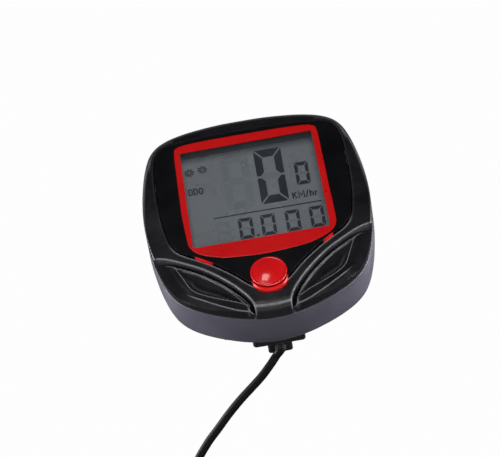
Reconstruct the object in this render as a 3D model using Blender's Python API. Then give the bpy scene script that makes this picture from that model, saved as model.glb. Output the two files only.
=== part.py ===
"""Wired cycling computer: display head, handlebar bracket, lead and fork sensor.

World frame: metres, +Z up, +X to the rider's right along the handlebar, -Y towards the rider.
The origin is in the middle of the saddle pad's inner face, where the pad touches the bar.
Everything that sits on the bracket is drawn in a flat frame (lengths in mm, z up from the bar's
axis, the display facing +z) and carried by an empty that leans the display back to the rider.
"""
import math

import bmesh
import bpy
from mathutils import Matrix, Vector

MM = 0.001
SIDES = (("left", -1), ("right", 1))    # the side's name and the sign of its x

# ---- driving dimensions, mm ----
FACE_TILT = math.radians(35.0)   # lean of the display from horizontal
BAR_R = 12.7            # 25.4 mm handlebar
PAD_T = 1.2             # rubber pad under the saddle
FIT = 0.3               # gap between the pad and the bracket's saddle
HEAD_Y = -9.0           # centre of the display head, from the bar's axis, in the flat frame

WALL = 1.6              # case and cover
REAR_Z = 18.0           # rear face of the case
FLOOR_Z = REAR_Z + WALL
SEAM_Z = 27.1           # top of the rear case's wall
BOARD_T = 1.0
BOARD_TOP = 24.6
ON_BOARD_Z = BOARD_TOP + 0.05   # underside of the parts carried by the board
DECK_Y = -9.6           # the cover is hollow above this y and has a deck below it
DOOR_Y = -14.6          # centre of the battery bay
DOOR_R = 8.0
BAY_R = 6.5             # hole for the cell through the case floor and the board
CELL_R = 5.8            # LR44
PLUNGER = (10.6, -18.4)         # right-hand button's plunger, over its switch
CONTACT_X, CONTACT_Y = 3.4, 8.2  # right-hand dock contact, in the head
LATCH_HALF_W = 5.45
# Case screws: x, y, z of the tip.
SCREWS = [(17.6, 14.5, 28.4), (-17.6, 14.5, 28.4), (16.0, -15.0, 27.4), (-16.0, -15.0, 27.4)]

# ---- outlines (x, y), mm, in the head's own plane ----
# Right halves, from the top centre to the bottom centre.
HEAD_HALF = [
    (0, 25.9), (5, 25.8), (10, 25.3), (13.5, 24.65), (16.3, 23.75), (18.6, 22.4), (20.2, 20.5),
    (21.3, 17.9), (22.2, 14.5), (22.95, 10), (23.35, 6), (23.5, 2), (23.35, -2), (22.85, -6),
    (22.05, -10.2), (20.95, -13.9), (19.5, -16.8), (17.3, -19.2), (14.2, -21.3),
    (10.4, -23.15), (5.6, -24.8), (0, -25.5)]
WINDOW_HALF = [
    (0, 22.1), (8, 22.0), (13.5, 21.5), (16.9, 20.9), (18.7, 19.6), (19.6, 17.2), (20.0, 13.2),
    (20.1, 8), (19.9, 2), (19.2, -3.2), (18.2, -6.1), (16.5, -8.0), (13.3, -10.05),
    (10.0, -12.45), (6.9, -15.2), (4.95, -17.3), (3.4, -18.8), (1.8, -19.7), (0, -20.0)]
FRAME_HALF = [
    (0, 20.9), (7.5, 20.85), (12.4, 20.6), (14.3, 20.1), (15.05, 18.8), (15.3, 12),
    (15.45, 3.5), (15.65, -4.5), (15.4, -6.9), (14.0, -8.7), (11.2, -10.1), (7.6, -10.95),
    (0, -11.5)]
# Centre line of the gap between the cover and the right-hand button, outer end to inner end.
GAP = [
    (26, -7.3), (21.6, -8.2), (19.3, -9.05), (16.7, -10.5), (13.35, -12.6), (10.25, -15.2),
    (7.5, -18.05), (5.3, -21.0), (4.35, -22.9), (4.05, -24.5), (4.0, -27.5)]
# Leaf-shaped recess in the right-hand button, anticlockwise.
LEAF = [
    (18.0, -11.1), (16.5, -11.7), (14.7, -12.9), (12.3, -14.6), (9.9, -16.6), (7.9, -18.9),
    (6.5, -20.9), (5.8, -22.3), (6.0, -22.6), (7.2, -21.9), (9.2, -20.9), (11.2, -20.0),
    (13.5, -18.8), (15.2, -17.5), (16.2, -16.1), (17.1, -13.8), (17.9, -11.9)]

# ---- level tables: (inset from the outline, z), lowest first ----
CASE_LEVELS = [(1.9, REAR_Z), (1.0, REAR_Z + 0.3), (0.4, REAR_Z + 1.0), (0.1, 20.4),
               (0, 21.8), (0, SEAM_Z)]
COVER_LEVELS = [(0, SEAM_Z + 0.1), (0, 28.9), (0.3, 29.5), (1.0, 30.0), (1.8, 30.2),
                (3.4, 30.35)]
BUTTON_LEVELS = [(0, 27.55), (0, 28.9), (0.2, 29.4), (0.6, 29.65), (1.6, 29.75), (3.0, 29.8)]
WINDOW_LEVELS = [(0, 30.85), (0, 31.0), (0.35, 31.4)]
BADGE_LEVELS = [(0, 31.45), (0, 31.65), (0.4, 31.75), (1.6, 31.92), (2.8, 32.0)]
CHIP_LEVELS = [(0, ON_BOARD_Z), (0.3, 25.2), (1.2, 25.6)]
DOME_LEVELS = [(0, ON_BOARD_Z), (0.1, 25.0), (0.7, 25.6), (1.2, 25.85)]
CELL_LEVELS = [(0.3, 20.4), (0, 20.6), (0, 25.2), (1.0, 25.3), (1.2, 25.8)]
DOOR_LEVELS = [(0.35, REAR_Z + 0.05), (0, REAR_Z + 0.3), (0, 19.25), (1.4, 19.25),
               (1.4, 20.15)]


# ---- plane geometry ----
def catmull_rom(t, before, start, end, after):
    """One coordinate of the curve at t, 0 at start and 1 at end."""
    return 0.5 * (2 * start + (end - before) * t
                  + (2 * before - 5 * start + 4 * end - after) * t * t
                  + (3 * start - before - 3 * end + after) * t ** 3)


def spline(points, n, closed=True):
    """n points evenly spaced along a uniform Catmull-Rom curve through points."""
    total = len(points)
    dense = []
    for i in range(total if closed else total - 1):
        near = [points[(i + k) % total] if closed else points[min(max(i + k, 0), total - 1)]
                for k in (-1, 0, 1, 2)]
        for step in range(12):
            dense.append(tuple(catmull_rom(step / 12, *four) for four in zip(*near)))
    dense.append(dense[0] if closed else tuple(points[-1]))
    lengths = [0.0]
    for a, b in zip(dense, dense[1:]):
        lengths.append(lengths[-1] + math.dist(a, b))
    spaced, j = [], 0
    for k in range(n):
        want = lengths[-1] * k / (n if closed else n - 1)
        while j < len(lengths) - 2 and lengths[j + 1] < want:
            j += 1
        span = lengths[j + 1] - lengths[j]
        t = (want - lengths[j]) / span if span else 0
        spaced.append(tuple(a + (b - a) * t for a, b in zip(dense[j], dense[j + 1])))
    return spaced


def mirrored(half, n):
    """Closed anticlockwise outline from a right half, top centre to bottom centre."""
    left = [(-x, y) for x, y in half[1:-1]]
    return spline(half + left[::-1], n)[::-1]


def flipped(loop):
    """The loop mirrored to the other side of x = 0, still anticlockwise."""
    return [(-x, y) for x, y in loop][::-1]


def inset(loop, distance):
    """An anticlockwise loop moved inwards by distance."""
    moved_in = []
    for i, (x, y) in enumerate(loop):
        before, after = loop[i - 1], loop[(i + 1) % len(loop)]
        in_x, in_y = x - before[0], y - before[1]
        out_x, out_y = after[0] - x, after[1] - y
        in_len, out_len = math.hypot(in_x, in_y) or 1, math.hypot(out_x, out_y) or 1
        normal_x = -(in_y / in_len + out_y / out_len)
        normal_y = in_x / in_len + out_x / out_len
        length = math.hypot(normal_x, normal_y) or 1
        normal_x, normal_y = normal_x / length, normal_y / length
        # Corners are mitred, by no more than twice the distance.
        cosine = max(0.5, normal_x * -(in_y / in_len) + normal_y * in_x / in_len)
        moved_in.append((x + normal_x * distance / cosine, y + normal_y * distance / cosine))
    return moved_in


def shifted(path, distance):
    """An open path moved sideways by distance, to its left."""
    result, last = [], len(path) - 1
    for i, (x, y) in enumerate(path):
        (ax, ay), (bx, by) = path[max(i - 1, 0)], path[min(i + 1, last)]
        length = math.hypot(bx - ax, by - ay)
        result.append((x - (by - ay) / length * distance, y + (bx - ax) / length * distance))
    return result


def full_turn(n, phase=0):
    """n angles round a circle, starting phase steps on."""
    return [2 * math.pi * (i + phase) / n for i in range(n)]


def circle(r, n, cx=0.0, cy=0.0, phase=0):
    return [(cx + r * math.cos(a), cy + r * math.sin(a)) for a in full_turn(n, phase)]


# ---- solids: each shape is (vertices, faces), mm ----
def loft(rings, closed=False):
    """A closed solid through rings of equally many points; closed joins last to first."""
    n = len(rings[0])
    verts = [p for ring in rings for p in ring]
    faces = []
    for k in range(len(rings) if closed else len(rings) - 1):
        a, b = k * n, ((k + 1) % len(rings)) * n
        for i in range(n):
            j = (i + 1) % n
            faces.append((a + i, a + j, b + j, b + i))
    if not closed:
        faces.append(tuple(range(n - 1, -1, -1)))
        faces.append(tuple(range((len(rings) - 1) * n, len(rings) * n)))
    return verts, faces


def stack(loop, levels):
    """A solid of one outline at several levels, each (inset, z), lowest first."""
    return loft([[(x, y, z) for x, y in (inset(loop, d) if d else loop)] for d, z in levels])


def prism(loop, z0, z1):
    return stack(loop, [(0, z0), (0, z1)])


def box(x0, x1, y0, y1, z0, z1):
    return prism([(x0, y0), (x1, y0), (x1, y1), (x0, y1)], z0, z1)


def mid_box(half_w, y0, y1, z0, z1):
    """A box centred on x = 0."""
    return box(-half_w, half_w, y0, y1, z0, z1)


def disc(r, n, x, y, z0, z1):
    return prism(circle(r, n, x, y), z0, z1)


def flat_ring(outer, inner, z0, z1):
    """A flat ring between two outlines of equally many points."""
    corners = ((inner, z0), (outer, z0), (outer, z1), (inner, z1))
    return loft([[(x, y, z) for x, y in loop] for loop, z in corners], closed=True)


def across(section, x0, x1):
    """A (y, z) section carried along x."""
    return loft([[(x, y, z) for y, z in section] for x in (x0, x1)])


def around_door(section, angles, closed=False):
    """A (radius, z) section turned about the axis of the battery bay."""
    return loft([[(r * math.cos(a), DOOR_Y + r * math.sin(a), z) for r, z in section]
                 for a in angles], closed)


def sweep(path, section, up=(1, 0, 0), closed=False):
    """A section of (u, v) carried along path; u lies along `up`, v across it."""
    rings, last = [], len(path) - 1
    for i, p in enumerate(path):
        if closed:
            a, b = path[i - 1], path[(i + 1) % len(path)]
        else:
            a, b = path[max(i - 1, 0)], path[min(i + 1, last)]
        along = (Vector(b) - Vector(a)).normalized()
        u_axis = Vector(up) - along * Vector(up).dot(along)
        u_axis.normalize()
        v_axis = along.cross(u_axis)
        rings.append([tuple(Vector(p) + u_axis * u + v_axis * v) for u, v in section])
    return loft(rings, closed)


# ---- objects ----
def material(name, color, roughness, metallic=0.0):
    mat = bpy.data.materials.new(name)
    mat.use_nodes = True
    shader = mat.node_tree.nodes["Principled BSDF"]
    shader.inputs["Base Color"].default_value = (*color, 1)
    shader.inputs["Roughness"].default_value = roughness
    shader.inputs["Metallic"].default_value = metallic
    mat.diffuse_color = (*color, 1)
    return mat


def make(name, shape, mat=None, parent=None, origin=(0, 0, 0)):
    """A mesh object from a shape in mm, with its origin at origin."""
    verts, faces = shape
    mesh = bpy.data.meshes.new(name)
    ox, oy, oz = origin
    local = [((x - ox) * MM, (y - oy) * MM, (z - oz) * MM) for x, y, z in verts]
    mesh.from_pydata(local, [], faces)
    edit = bmesh.new()
    edit.from_mesh(mesh)
    bmesh.ops.recalc_face_normals(edit, faces=edit.faces)
    edit.to_mesh(mesh)
    edit.free()
    mesh.update()
    obj = bpy.data.objects.new(name, mesh)
    obj.location = (ox * MM, oy * MM, oz * MM)
    bpy.context.scene.collection.objects.link(obj)
    if mat:
        mesh.materials.append(mat)
        mesh.shade_smooth()
        mesh.set_sharp_from_angle(angle=math.radians(35))
    obj.parent = parent
    return obj


def cutter(shape, parent):
    """A helper object for a boolean."""
    tool = make("cutter", shape, parent=parent)
    tool.hide_render = True
    tool.display_type = "WIRE"
    return tool


def add_boolean(obj, name, operation, tool):
    boolean = obj.modifiers.new(name, "BOOLEAN")
    boolean.operation = operation
    boolean.object = tool
    boolean.solver = "EXACT"


def combine(obj, operation, *shapes):
    for shape in shapes:
        add_boolean(obj, operation.lower(), operation, cutter(shape, obj.parent))


def cut(obj, *shapes):
    combine(obj, "DIFFERENCE", *shapes)


def join(obj, *shapes):
    combine(obj, "UNION", *shapes)


def empty(name, location=(0, 0, 0), tilt=0, parent=None):
    """An empty at a place in mm, turned by tilt about x."""
    obj = bpy.data.objects.new(name, None)
    obj.location = [v * MM for v in location]
    obj.rotation_euler = (tilt, 0, 0)
    bpy.context.scene.collection.objects.link(obj)
    obj.parent = parent
    return obj


for old in list(bpy.data.objects):
    bpy.data.objects.remove(old)

GLOSS = material("gloss_black", color=(0.006, 0.006, 0.008), roughness=0.12)
CASE = material("case_grey", color=(0.045, 0.043, 0.058), roughness=0.42)
RED = material("red", color=(0.62, 0.006, 0.006), roughness=0.25)
CLEAR = material("clear_window", color=(0.9, 0.9, 0.9), roughness=0.03)
LCD = material("lcd", color=(0.13, 0.14, 0.145), roughness=0.3)
PLASTIC = material("black_plastic", color=(0.012, 0.012, 0.013), roughness=0.5)
RUBBER = material("rubber", color=(0.02, 0.02, 0.02), roughness=0.8)
STEEL = material("steel", color=(0.55, 0.55, 0.56), roughness=0.3, metallic=1.0)
BRASS = material("brass", color=(0.75, 0.55, 0.22), roughness=0.3, metallic=1.0)
BOARD = material("board_green", color=(0.02, 0.16, 0.06), roughness=0.5)
FILM = material("film", color=(0.6, 0.62, 0.6), roughness=0.4)
SEAL = material("seal", color=(0.5, 0.5, 0.5), roughness=0.7)

# The datum lies on the bar's axis.
datum = empty("datum", (0, BAR_R * math.sin(FACE_TILT), -BAR_R * math.cos(FACE_TILT)))
lean = empty("display_lean", tilt=FACE_TILT, parent=datum)
head = empty("head", (0, HEAD_Y, 0), parent=lean)

outline = mirrored(HEAD_HALF, 60)
window = mirrored(WINDOW_HALF, 48)

# ---- rear case: from here to the battery bay, coordinates are from the head's own centre ----
case = make("rear_case", stack(outline, CASE_LEVELS), CASE, head)
cut(case, prism(inset(outline, WALL), FLOOR_Z, SEAM_Z + 1))
join(case,
     mid_box(8.6, -5.3, 13.6, 18.6, 22.2),      # block round the dock
     disc(9.4, 28, 0, DOOR_Y, 18.6, 22.0),      # stepped boss round the battery bay
     disc(7.8, 24, 0, DOOR_Y, 18.6, 23.3))
for x, y, _ in SCREWS:
    join(case, disc(2.6, 14, x, y, 19.0, 25.0))
# dock: a wide pocket to drop the rail in, then an undercut channel with a narrower mouth
cut(case,
    mid_box(6.1, -4.8, 4.2, 17, 21.0),
    mid_box(6.1, 4.0, 12.5, 19.0, 21.0),
    mid_box(4.6, 4.0, 12.5, 17, 19.4))
cut(case,
    disc(DOOR_R + 0.2, 24, 0, DOOR_Y, 17, 20.2),
    disc(BAY_R, 24, 0, DOOR_Y, 20.0, 25))
for x, y, _ in SCREWS:
    cut(case, disc(2.1, 12, x, y, 17, 19.6), disc(1.15, 10, x, y, 19, 28))
for _, sign in SIDES:
    cut(case, disc(1.45, 12, CONTACT_X * sign, CONTACT_Y, 20.5, 23))

# ---- front cover ----
GAP_HALF = 0.3
gap_line = spline(GAP, 24, closed=False)
# Right-hand corner outlines, closed by a point beyond the case. The gap line's left side
# faces that corner, so the button's is the smaller one.
button_loop = shifted(gap_line, GAP_HALF) + [(26, -27.5)]
opening_loop = shifted(gap_line, -GAP_HALF) + [(26 + GAP_HALF, -27.5 - GAP_HALF)]

# The hollow stops at the deck; points that bunch up on its edge are thinned out.
hollow_loop = []
for x, y in inset(outline, WALL):
    point = (x, max(y, DECK_Y))
    if not hollow_loop or math.dist(point, hollow_loop[-1]) > 0.2:
        hollow_loop.append(point)
deck_loop = [p for p in inset(outline, WALL + 0.2) if p[1] < DECK_Y]

cover = make("front_cover", stack(outline, COVER_LEVELS), GLOSS, head)
cut(cover,
    prism(hollow_loop, 26, 28.7),
    prism(inset(window, -0.15), 29.45, 33),      # seat of the mask and window
    mid_box(14.7, -8.3, 19.0, 25, 33))           # screen opening
join(cover, prism(deck_loop, 26.3, SEAM_Z + 0.2))
for loop in (opening_loop, flipped(opening_loop)):
    cut(cover, prism(loop, SEAM_Z - 0.1, 33))
for _, sign in SIDES:
    cut(cover, disc(2.3, 14, sign * PLUNGER[0], PLUNGER[1], 25, 33))
for x, y, tip in SCREWS:
    if y < 0:
        join(cover, disc(1.7, 14, x, y, 26.4, 27.6))
    else:
        join(cover, disc(2.0, 14, x, y, 27.0, 28.9))
    cut(cover, disc(1.0, 10, x, y, 25, tip + 0.1))


# ---- window, mask, red frame and badge ----
def screen_hole(shrink):
    """The tapered opening over the screen, each side moved in by shrink."""
    low_x, high_x = 14.3 - shrink, 13.9 - shrink
    low_y, high_y = -7.6 + shrink, 18.5 - shrink
    corners = [(-low_x, low_y), (low_x, low_y), (high_x, high_y), (-high_x, high_y)]
    return prism(corners, 29, 31)


make("display_window", stack(window, WINDOW_LEVELS), CLEAR, head)
mask = make("screen_mask", prism(inset(window, 0.1), 29.5, 30.4), PLASTIC, head)
cut(mask, screen_hole(0))
frame = make("red_screen_frame", prism(mirrored(FRAME_HALF, 40), 30.45, 30.8), RED, head)
cut(frame, screen_hole(0.05))
make("red_badge", stack(circle(3.8, 32, 0, -16.85), BADGE_LEVELS), RED, head)

# ---- screen ----
make("lcd_glass", mid_box(15.2, -9.0, 19.5, 27.2, 28.6), LCD, head)
make("lcd_reflector", mid_box(14.6, -6.2, 18.5, 26.8, 27.1), FILM, head)
make("lcd_connector_strip", mid_box(13.0, -8.1, -6.6, 24.7, 27.1), RUBBER, head)

# ---- circuit board and its parts ----
board = make("circuit_board", prism(inset(outline, 2.4), BOARD_TOP - BOARD_T, BOARD_TOP),
             BOARD, head)
cut(board, disc(BAY_R, 24, 0, DOOR_Y, 22, 26))
for x, y, _ in SCREWS:
    cut(board, disc(2.9, 12, x, y, 22, 26))
make("processor_chip", stack(circle(3.0, 20, 5.5, 6.0), CHIP_LEVELS), PLASTIC, head)
make("quartz_crystal", across(circle(0.65, 12, 2.0, 25.35), -9.0, -3.0), STEEL, head)

# ---- gasket and case screws ----
make("case_gasket",
     flat_ring(inset(outline, WALL + 0.1), inset(outline, WALL + 0.75), 25.15, 26.15),
     SEAL, head)

SLOT_HALF_L, SLOT_HALF_W = 1.15, 0.22
for i, (x, y, tip) in enumerate(SCREWS):
    levels = [(0, 18.3), (0, 19.2), (0.95, 19.5), (0.95, tip - 0.3), (1.5, tip)]
    screw = make(f"case_screw_{i + 1}", stack(circle(1.9, 14, x, y), levels), STEEL, head)
    for half_x, half_y in ((SLOT_HALF_L, SLOT_HALF_W), (SLOT_HALF_W, SLOT_HALF_L)):
        cut(screw, box(x - half_x, x + half_x, y - half_y, y + half_y, 17.5, 18.9))

# ---- switch domes and dock contacts ----
for side, sign in SIDES:
    make(f"switch_dome_{side}", stack(circle(2.1, 16, sign * PLUNGER[0], PLUNGER[1]),
                                      DOME_LEVELS), RUBBER, head)
    make(f"dock_contact_{side}", disc(1.3, 14, sign * CONTACT_X, CONTACT_Y, 20.9, 22.6),
         BRASS, head)

# ---- buttons: one corner of the cover's form each, with a plunger over its switch ----
for side, sign in SIDES:
    plunger_x, plunger_y = sign * PLUNGER[0], PLUNGER[1]
    leaf = spline(LEAF, 30)
    loop = button_loop
    if sign < 0:
        leaf, loop = flipped(leaf), flipped(loop)
    button = make(f"button_{side}", stack(outline, BUTTON_LEVELS), GLOSS, head,
                  origin=(plunger_x, plunger_y, 30))
    combine(button, "INTERSECT", prism(loop, 20, 40))
    cut(button, stack(leaf, [(0.35, 29.15), (0, 31)]))
    # The underside is hollow, with a wall on the case's side and along the gap.
    hollow = cutter(prism(inset(outline, 1.2), 26, 28.1), head)
    combine(hollow, "INTERSECT", prism(inset(loop, 1.1), 25, 29))
    add_boolean(button, "hollow", "DIFFERENCE", hollow)
    join(button, disc(1.5, 14, plunger_x, plunger_y, 26.35, 28.4))

# ---- battery bay ----
make("battery_cell", stack(circle(CELL_R, 28, 0, DOOR_Y), CELL_LEVELS), STEEL, head)

STRIP_HALF_W, STRIP_END_Y = 2.0, -22.2
strip = make("cell_contact_negative",
             mid_box(STRIP_HALF_W, STRIP_END_Y, DOOR_Y + 3, 25.9, 26.1), BRASS, head)
# leg down to the board
join(strip, mid_box(STRIP_HALF_W, STRIP_END_Y, STRIP_END_Y + 0.3, ON_BOARD_Z, 26.05))

clip_section = [(5.95, 20.7), (6.2, 20.7), (6.2, 24.9), (5.95, 24.9)]   # radius, z
clip_angles = [math.radians(60 + 60 * i / 8) for i in range(9)]
make("cell_contact_positive", around_door(clip_section, clip_angles[::-1]), BRASS, head)

door_origin = (0, DOOR_Y, REAR_Z)
door = make("battery_door", stack(circle(DOOR_R, 32, 0, DOOR_Y), DOOR_LEVELS), CASE, head,
            origin=door_origin)
cut(door, mid_box(6.0, DOOR_Y - 0.75, DOOR_Y + 0.75, 17, 18.75))    # coin slot
make("door_o_ring", around_door(circle(0.38, 8, 7.25, 19.72)[::-1], full_turn(28), closed=True),
     RUBBER, head, origin=door_origin)

# ---- bracket: coordinates from the bar's axis, in the flat frame ----
BRACKET_HALF_W, BRACKET_HALF_L = 13, 12
BORE_R, BORE_Z = 1.25, 13.1     # lead's hole, along y
pin_y = HEAD_Y + CONTACT_Y      # pins meet the dock contacts

bracket = make("bracket",
               mid_box(BRACKET_HALF_W, -BRACKET_HALF_L, BRACKET_HALF_L, 10.8, 15.4),
               PLASTIC, lean)
join(bracket,
     mid_box(8, -BRACKET_HALF_L, BRACKET_HALF_L, 15.0, 17.4),      # raised middle
     box(-BRACKET_HALF_W, -11.9, -BRACKET_HALF_L, BRACKET_HALF_L, 15.0, 17.2),   # side ribs
     box(11.9, BRACKET_HALF_W, -BRACKET_HALF_L, BRACKET_HALF_L, 15.0, 17.2))
join(bracket,
     mid_box(4.3, -4.6, 3.1, 17.0, 19.4),       # neck and wider top of the dock rail
     mid_box(5.8, -4.6, 3.1, 19.2, 20.6))
join(bracket,
     mid_box(LATCH_HALF_W, -29.5, -11.0, 12.4, 14.6),   # tongue under the latch
     mid_box(2.55, -31.2, -24.0, 11.4, 14.9))           # boss for the lead
cut(bracket, across(circle(BAR_R + PAD_T + FIT, 44, phase=0.5), -15, 15))
cut(bracket, loft([[(x, y, z) for z, x in circle(BORE_R, 16, BORE_Z, 0)]
                   for y in (-32.5, -25.0)]))
for _, sign in SIDES:
    cut(bracket, disc(0.95, 12, CONTACT_X * sign, pin_y, 17.6, 22))

# ---- saddle pad ----
PAD_HALF_ANGLE = math.radians(48)
PAD_FACETS = 13
facet_angle = 2 * PAD_HALF_ANGLE / PAD_FACETS
inner_r = BAR_R * (1 / math.cos(facet_angle / 2))   # each inner facet touches the bar
outer_r = BAR_R + PAD_T
angles = [math.pi / 2 - PAD_HALF_ANGLE + facet_angle * i for i in range(PAD_FACETS + 1)]
profile = [(inner_r * math.cos(a), inner_r * math.sin(a)) for a in angles]
profile += [(outer_r * math.cos(a), outer_r * math.sin(a)) for a in angles[::-1]]
make("saddle_pad", across(profile, -12.2, 12.2), RUBBER, lean)

# ---- contact pins and release latch ----
PIN_TOP = 20.83
PIN_LEVELS = [(0, 18.4), (0, 20.5), (0.25, 20.75), (0.5, PIN_TOP)]
for side, sign in SIDES:
    pin_x = sign * CONTACT_X
    make(f"contact_pin_{side}", stack(circle(0.8, 14, pin_x, pin_y), PIN_LEVELS),
         BRASS, lean, origin=(pin_x, pin_y, PIN_TOP))

make("release_latch", mid_box(LATCH_HALF_W, -32.8, -12.4, 16.1, 17.6), PLASTIC, lean,
     origin=(0, -13.0, 16.85))

# ---- cable ties: under the bar and over the bracket's plate ----
TIE_X = 10.0
TIE_W, TIE_T = 2.8, 1.1
TIE_BEND = 1.6          # radius of the strap's two upper corners
tie_r = BAR_R + 0.1 + TIE_T / 2     # middle of the strap's thickness
tie_top = 15.75 + TIE_T / 2
bend_z = tie_top - TIE_BEND
# The strap's (y, z) path: round the bar from the front, up behind, back over the plate.
strap = [(tie_r * math.cos(a), tie_r * math.sin(a)) for a in
         [-math.pi * i / 20 for i in range(21)]]
strap += [(-tie_r, 7.0), (-tie_r, bend_z)]
quarter = [math.pi / 2 * i / 4 for i in range(5)]
strap += [(-tie_r + TIE_BEND - TIE_BEND * math.cos(a), bend_z + TIE_BEND * math.sin(a))
          for a in quarter[1:]]
strap += [(tie_r - TIE_BEND + TIE_BEND * math.sin(a), bend_z + TIE_BEND * math.cos(a))
          for a in quarter]
strap += [(tie_r, 7.0)]
half_w, half_t = TIE_W / 2, TIE_T / 2
tie_section = [(-half_w, -half_t), (half_w, -half_t), (half_w, half_t), (-half_w, half_t)]
for side, sign in SIDES:
    x = sign * TIE_X
    tie = make(f"cable_tie_{side}", sweep([(x, y, z) for y, z in strap], tie_section,
                                          closed=True), PLASTIC, lean)
    # block on the front of the strap, and a narrow strip standing up from it
    join(tie, box(x - 2.3, x + 2.3, 12.95, 16.9, 2.2, 6.6))
    join(tie, box(x - 1.3, x + 1.3, 14.4, 15.3, 6.2, 9.6))

# ---- lead: out of the bracket's boss, down to the left, then to the fork sensor ----
CABLE_R = 0.88
DROOP = math.radians(16)
SENSOR = (-26.0, -23.5, -56.0)   # where the lead enters the sensor, upright from the bar's axis
# Inside and just behind the boss: x, y, z in the flat frame.
LEAD_FLAT = [(0, -26.0, 13.1), (0, -28.0, 13.1), (0, -30.0, 13.1), (0, -31.9, 13.05)]
# The hanging loop: across, up, towards the rider, in axes tipped by the droop.
LEAD_HANG = [
    (-1.0, -17.6, 29.4), (-2.6, -19.3, 29.2), (-4.75, -21.4, 28.4), (-7.1, -23.3, 27.3),
    (-10.0, -25.6, 25.8), (-12.9, -28.2, 24.0), (-15.6, -30.9, 22.0), (-18.3, -33.6, 20.0),
    (-21.6, -37.8, 17.2), (-24.4, -43.2, 14.6)]


def drooped(x, up, rearward):
    """An upright point from one in axes whose up leans forward by the droop."""
    return (x, up * math.sin(DROOP) - rearward * math.cos(DROOP),
            up * math.cos(DROOP) + rearward * math.sin(DROOP))


sensor_x, sensor_y, sensor_z = SENSOR
to_upright = Matrix.Rotation(FACE_TILT, 3, "X")
lead = [tuple(to_upright @ Vector(p)) for p in LEAD_FLAT] + [drooped(*p) for p in LEAD_HANG]
lead += [(sensor_x, sensor_y, sensor_z + dz) for dz in (5.5, 1, -4.5)]
make("signal_cable", sweep(spline(lead, 46, closed=False), circle(CABLE_R, 8),
                           up=(0.6, 0.8, 0.1)), RUBBER, datum)

# ---- fork sensor: upright, measured from where the lead enters its top ----
POD_LOOP = [(-5.0, -4.6), (5.0, -4.6), (6.3, -3.0), (6.3, 4.0), (-6.3, 4.0), (-6.3, -3.0)]
POD_LEVELS = [(1.2, -29.0), (0, -27.6), (0, -3.0), (1.6, -0.2), (2.2, 0)]
REED_LEVELS = [(0.75, -22.4), (0.2, -21.6), (0, -20.8), (0, -11.2), (0.2, -10.4), (0.75, -9.6)]


def at_sensor(shape):
    verts, faces = shape
    return [(x + sensor_x, y + sensor_y, z + sensor_z) for x, y, z in verts], faces


pod = make("sensor_housing", at_sensor(stack(POD_LOOP, POD_LEVELS)), PLASTIC, datum)
cut(pod,
    at_sensor(mid_box(4.9, -2.9, 5.5, -27.3, -4.4)),    # chamber, open at the front
    at_sensor(disc(1.1, 12, 0, 0, -5.0, 2)))            # lead's hole
for z in (-8.5, -23.5):     # grooves across the rider's side
    cut(pod, at_sensor(mid_box(8, -6, -4.0, z - 1.9, z + 1.9)))
make("sensor_lid", at_sensor(mid_box(4.7, 2.6, 4.0, -27.1, -4.6)), PLASTIC, datum)
make("sensor_pad", at_sensor(mid_box(5.8, 4.05, 5.5, -28.2, -3.4)), RUBBER, datum)
make("reed_switch", at_sensor(stack(circle(1.15, 14, 0, 0.4), REED_LEVELS)), FILM, datum)
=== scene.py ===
"""A wired cycling computer in its handlebar bracket, with the lead and its fork sensor.

+X is the right of the device, -Y the front and +Z up. The handlebar runs along X, and the bracket
and the head are tipped 35 degrees about it so that the screen faces forwards and up. Lengths are
in mm; place() turns them into metres.
"""
import math

import bmesh
import bpy
import numpy as np
from mathutils import Matrix, Vector
from mathutils.geometry import delaunay_2d_cdt


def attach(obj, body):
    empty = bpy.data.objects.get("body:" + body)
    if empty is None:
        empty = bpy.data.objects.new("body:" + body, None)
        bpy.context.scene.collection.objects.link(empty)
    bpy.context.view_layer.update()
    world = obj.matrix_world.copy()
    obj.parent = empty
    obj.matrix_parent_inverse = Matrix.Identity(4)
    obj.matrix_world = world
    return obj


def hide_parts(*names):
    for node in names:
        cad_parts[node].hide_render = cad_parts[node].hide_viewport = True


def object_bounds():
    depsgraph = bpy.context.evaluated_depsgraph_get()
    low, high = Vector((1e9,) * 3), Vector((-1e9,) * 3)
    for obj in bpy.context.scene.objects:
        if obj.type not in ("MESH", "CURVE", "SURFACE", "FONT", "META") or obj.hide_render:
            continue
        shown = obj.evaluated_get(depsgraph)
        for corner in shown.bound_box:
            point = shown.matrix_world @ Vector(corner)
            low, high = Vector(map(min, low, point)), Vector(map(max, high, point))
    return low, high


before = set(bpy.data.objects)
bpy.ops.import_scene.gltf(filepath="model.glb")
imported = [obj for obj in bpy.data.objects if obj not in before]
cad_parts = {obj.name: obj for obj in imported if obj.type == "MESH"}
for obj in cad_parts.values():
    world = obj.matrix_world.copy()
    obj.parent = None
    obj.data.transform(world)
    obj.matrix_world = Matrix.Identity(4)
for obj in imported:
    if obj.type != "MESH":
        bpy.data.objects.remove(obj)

cad_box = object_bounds()

# ---------- driving dimensions ----------
TILT = math.radians(35)
COS_TILT, SIN_TILT = math.cos(TILT), math.sin(TILT)
UP_FACE = (0, COS_TILT, SIN_TILT)        # the head's y axis in the world
OUT_OF_FACE = (0, -SIN_TILT, COS_TILT)   # the head's z axis in the world
HEAD_Y = -9.0                            # the head's origin in the bracket's frame
BAR_R = 12.7
BAR_AXIS = np.array([0, BAR_R * SIN_TILT, -BAR_R * COS_TILT])   # from the origin, on the pad

# heights above the bar's axis, square to the tilted face
REAR_Z, CASE_TOP, COVER_BOTTOM, COVER_TOP = 18.0, 27.1, 27.2, 30.35
MASK_TOP, PANEL_TOP, LCD_BOTTOM, LCD_TOP = 30.8, 31.4, 27.2, 28.6
BUTTON_BOTTOM, BUTTON_TOP = 27.62, 29.85

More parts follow.
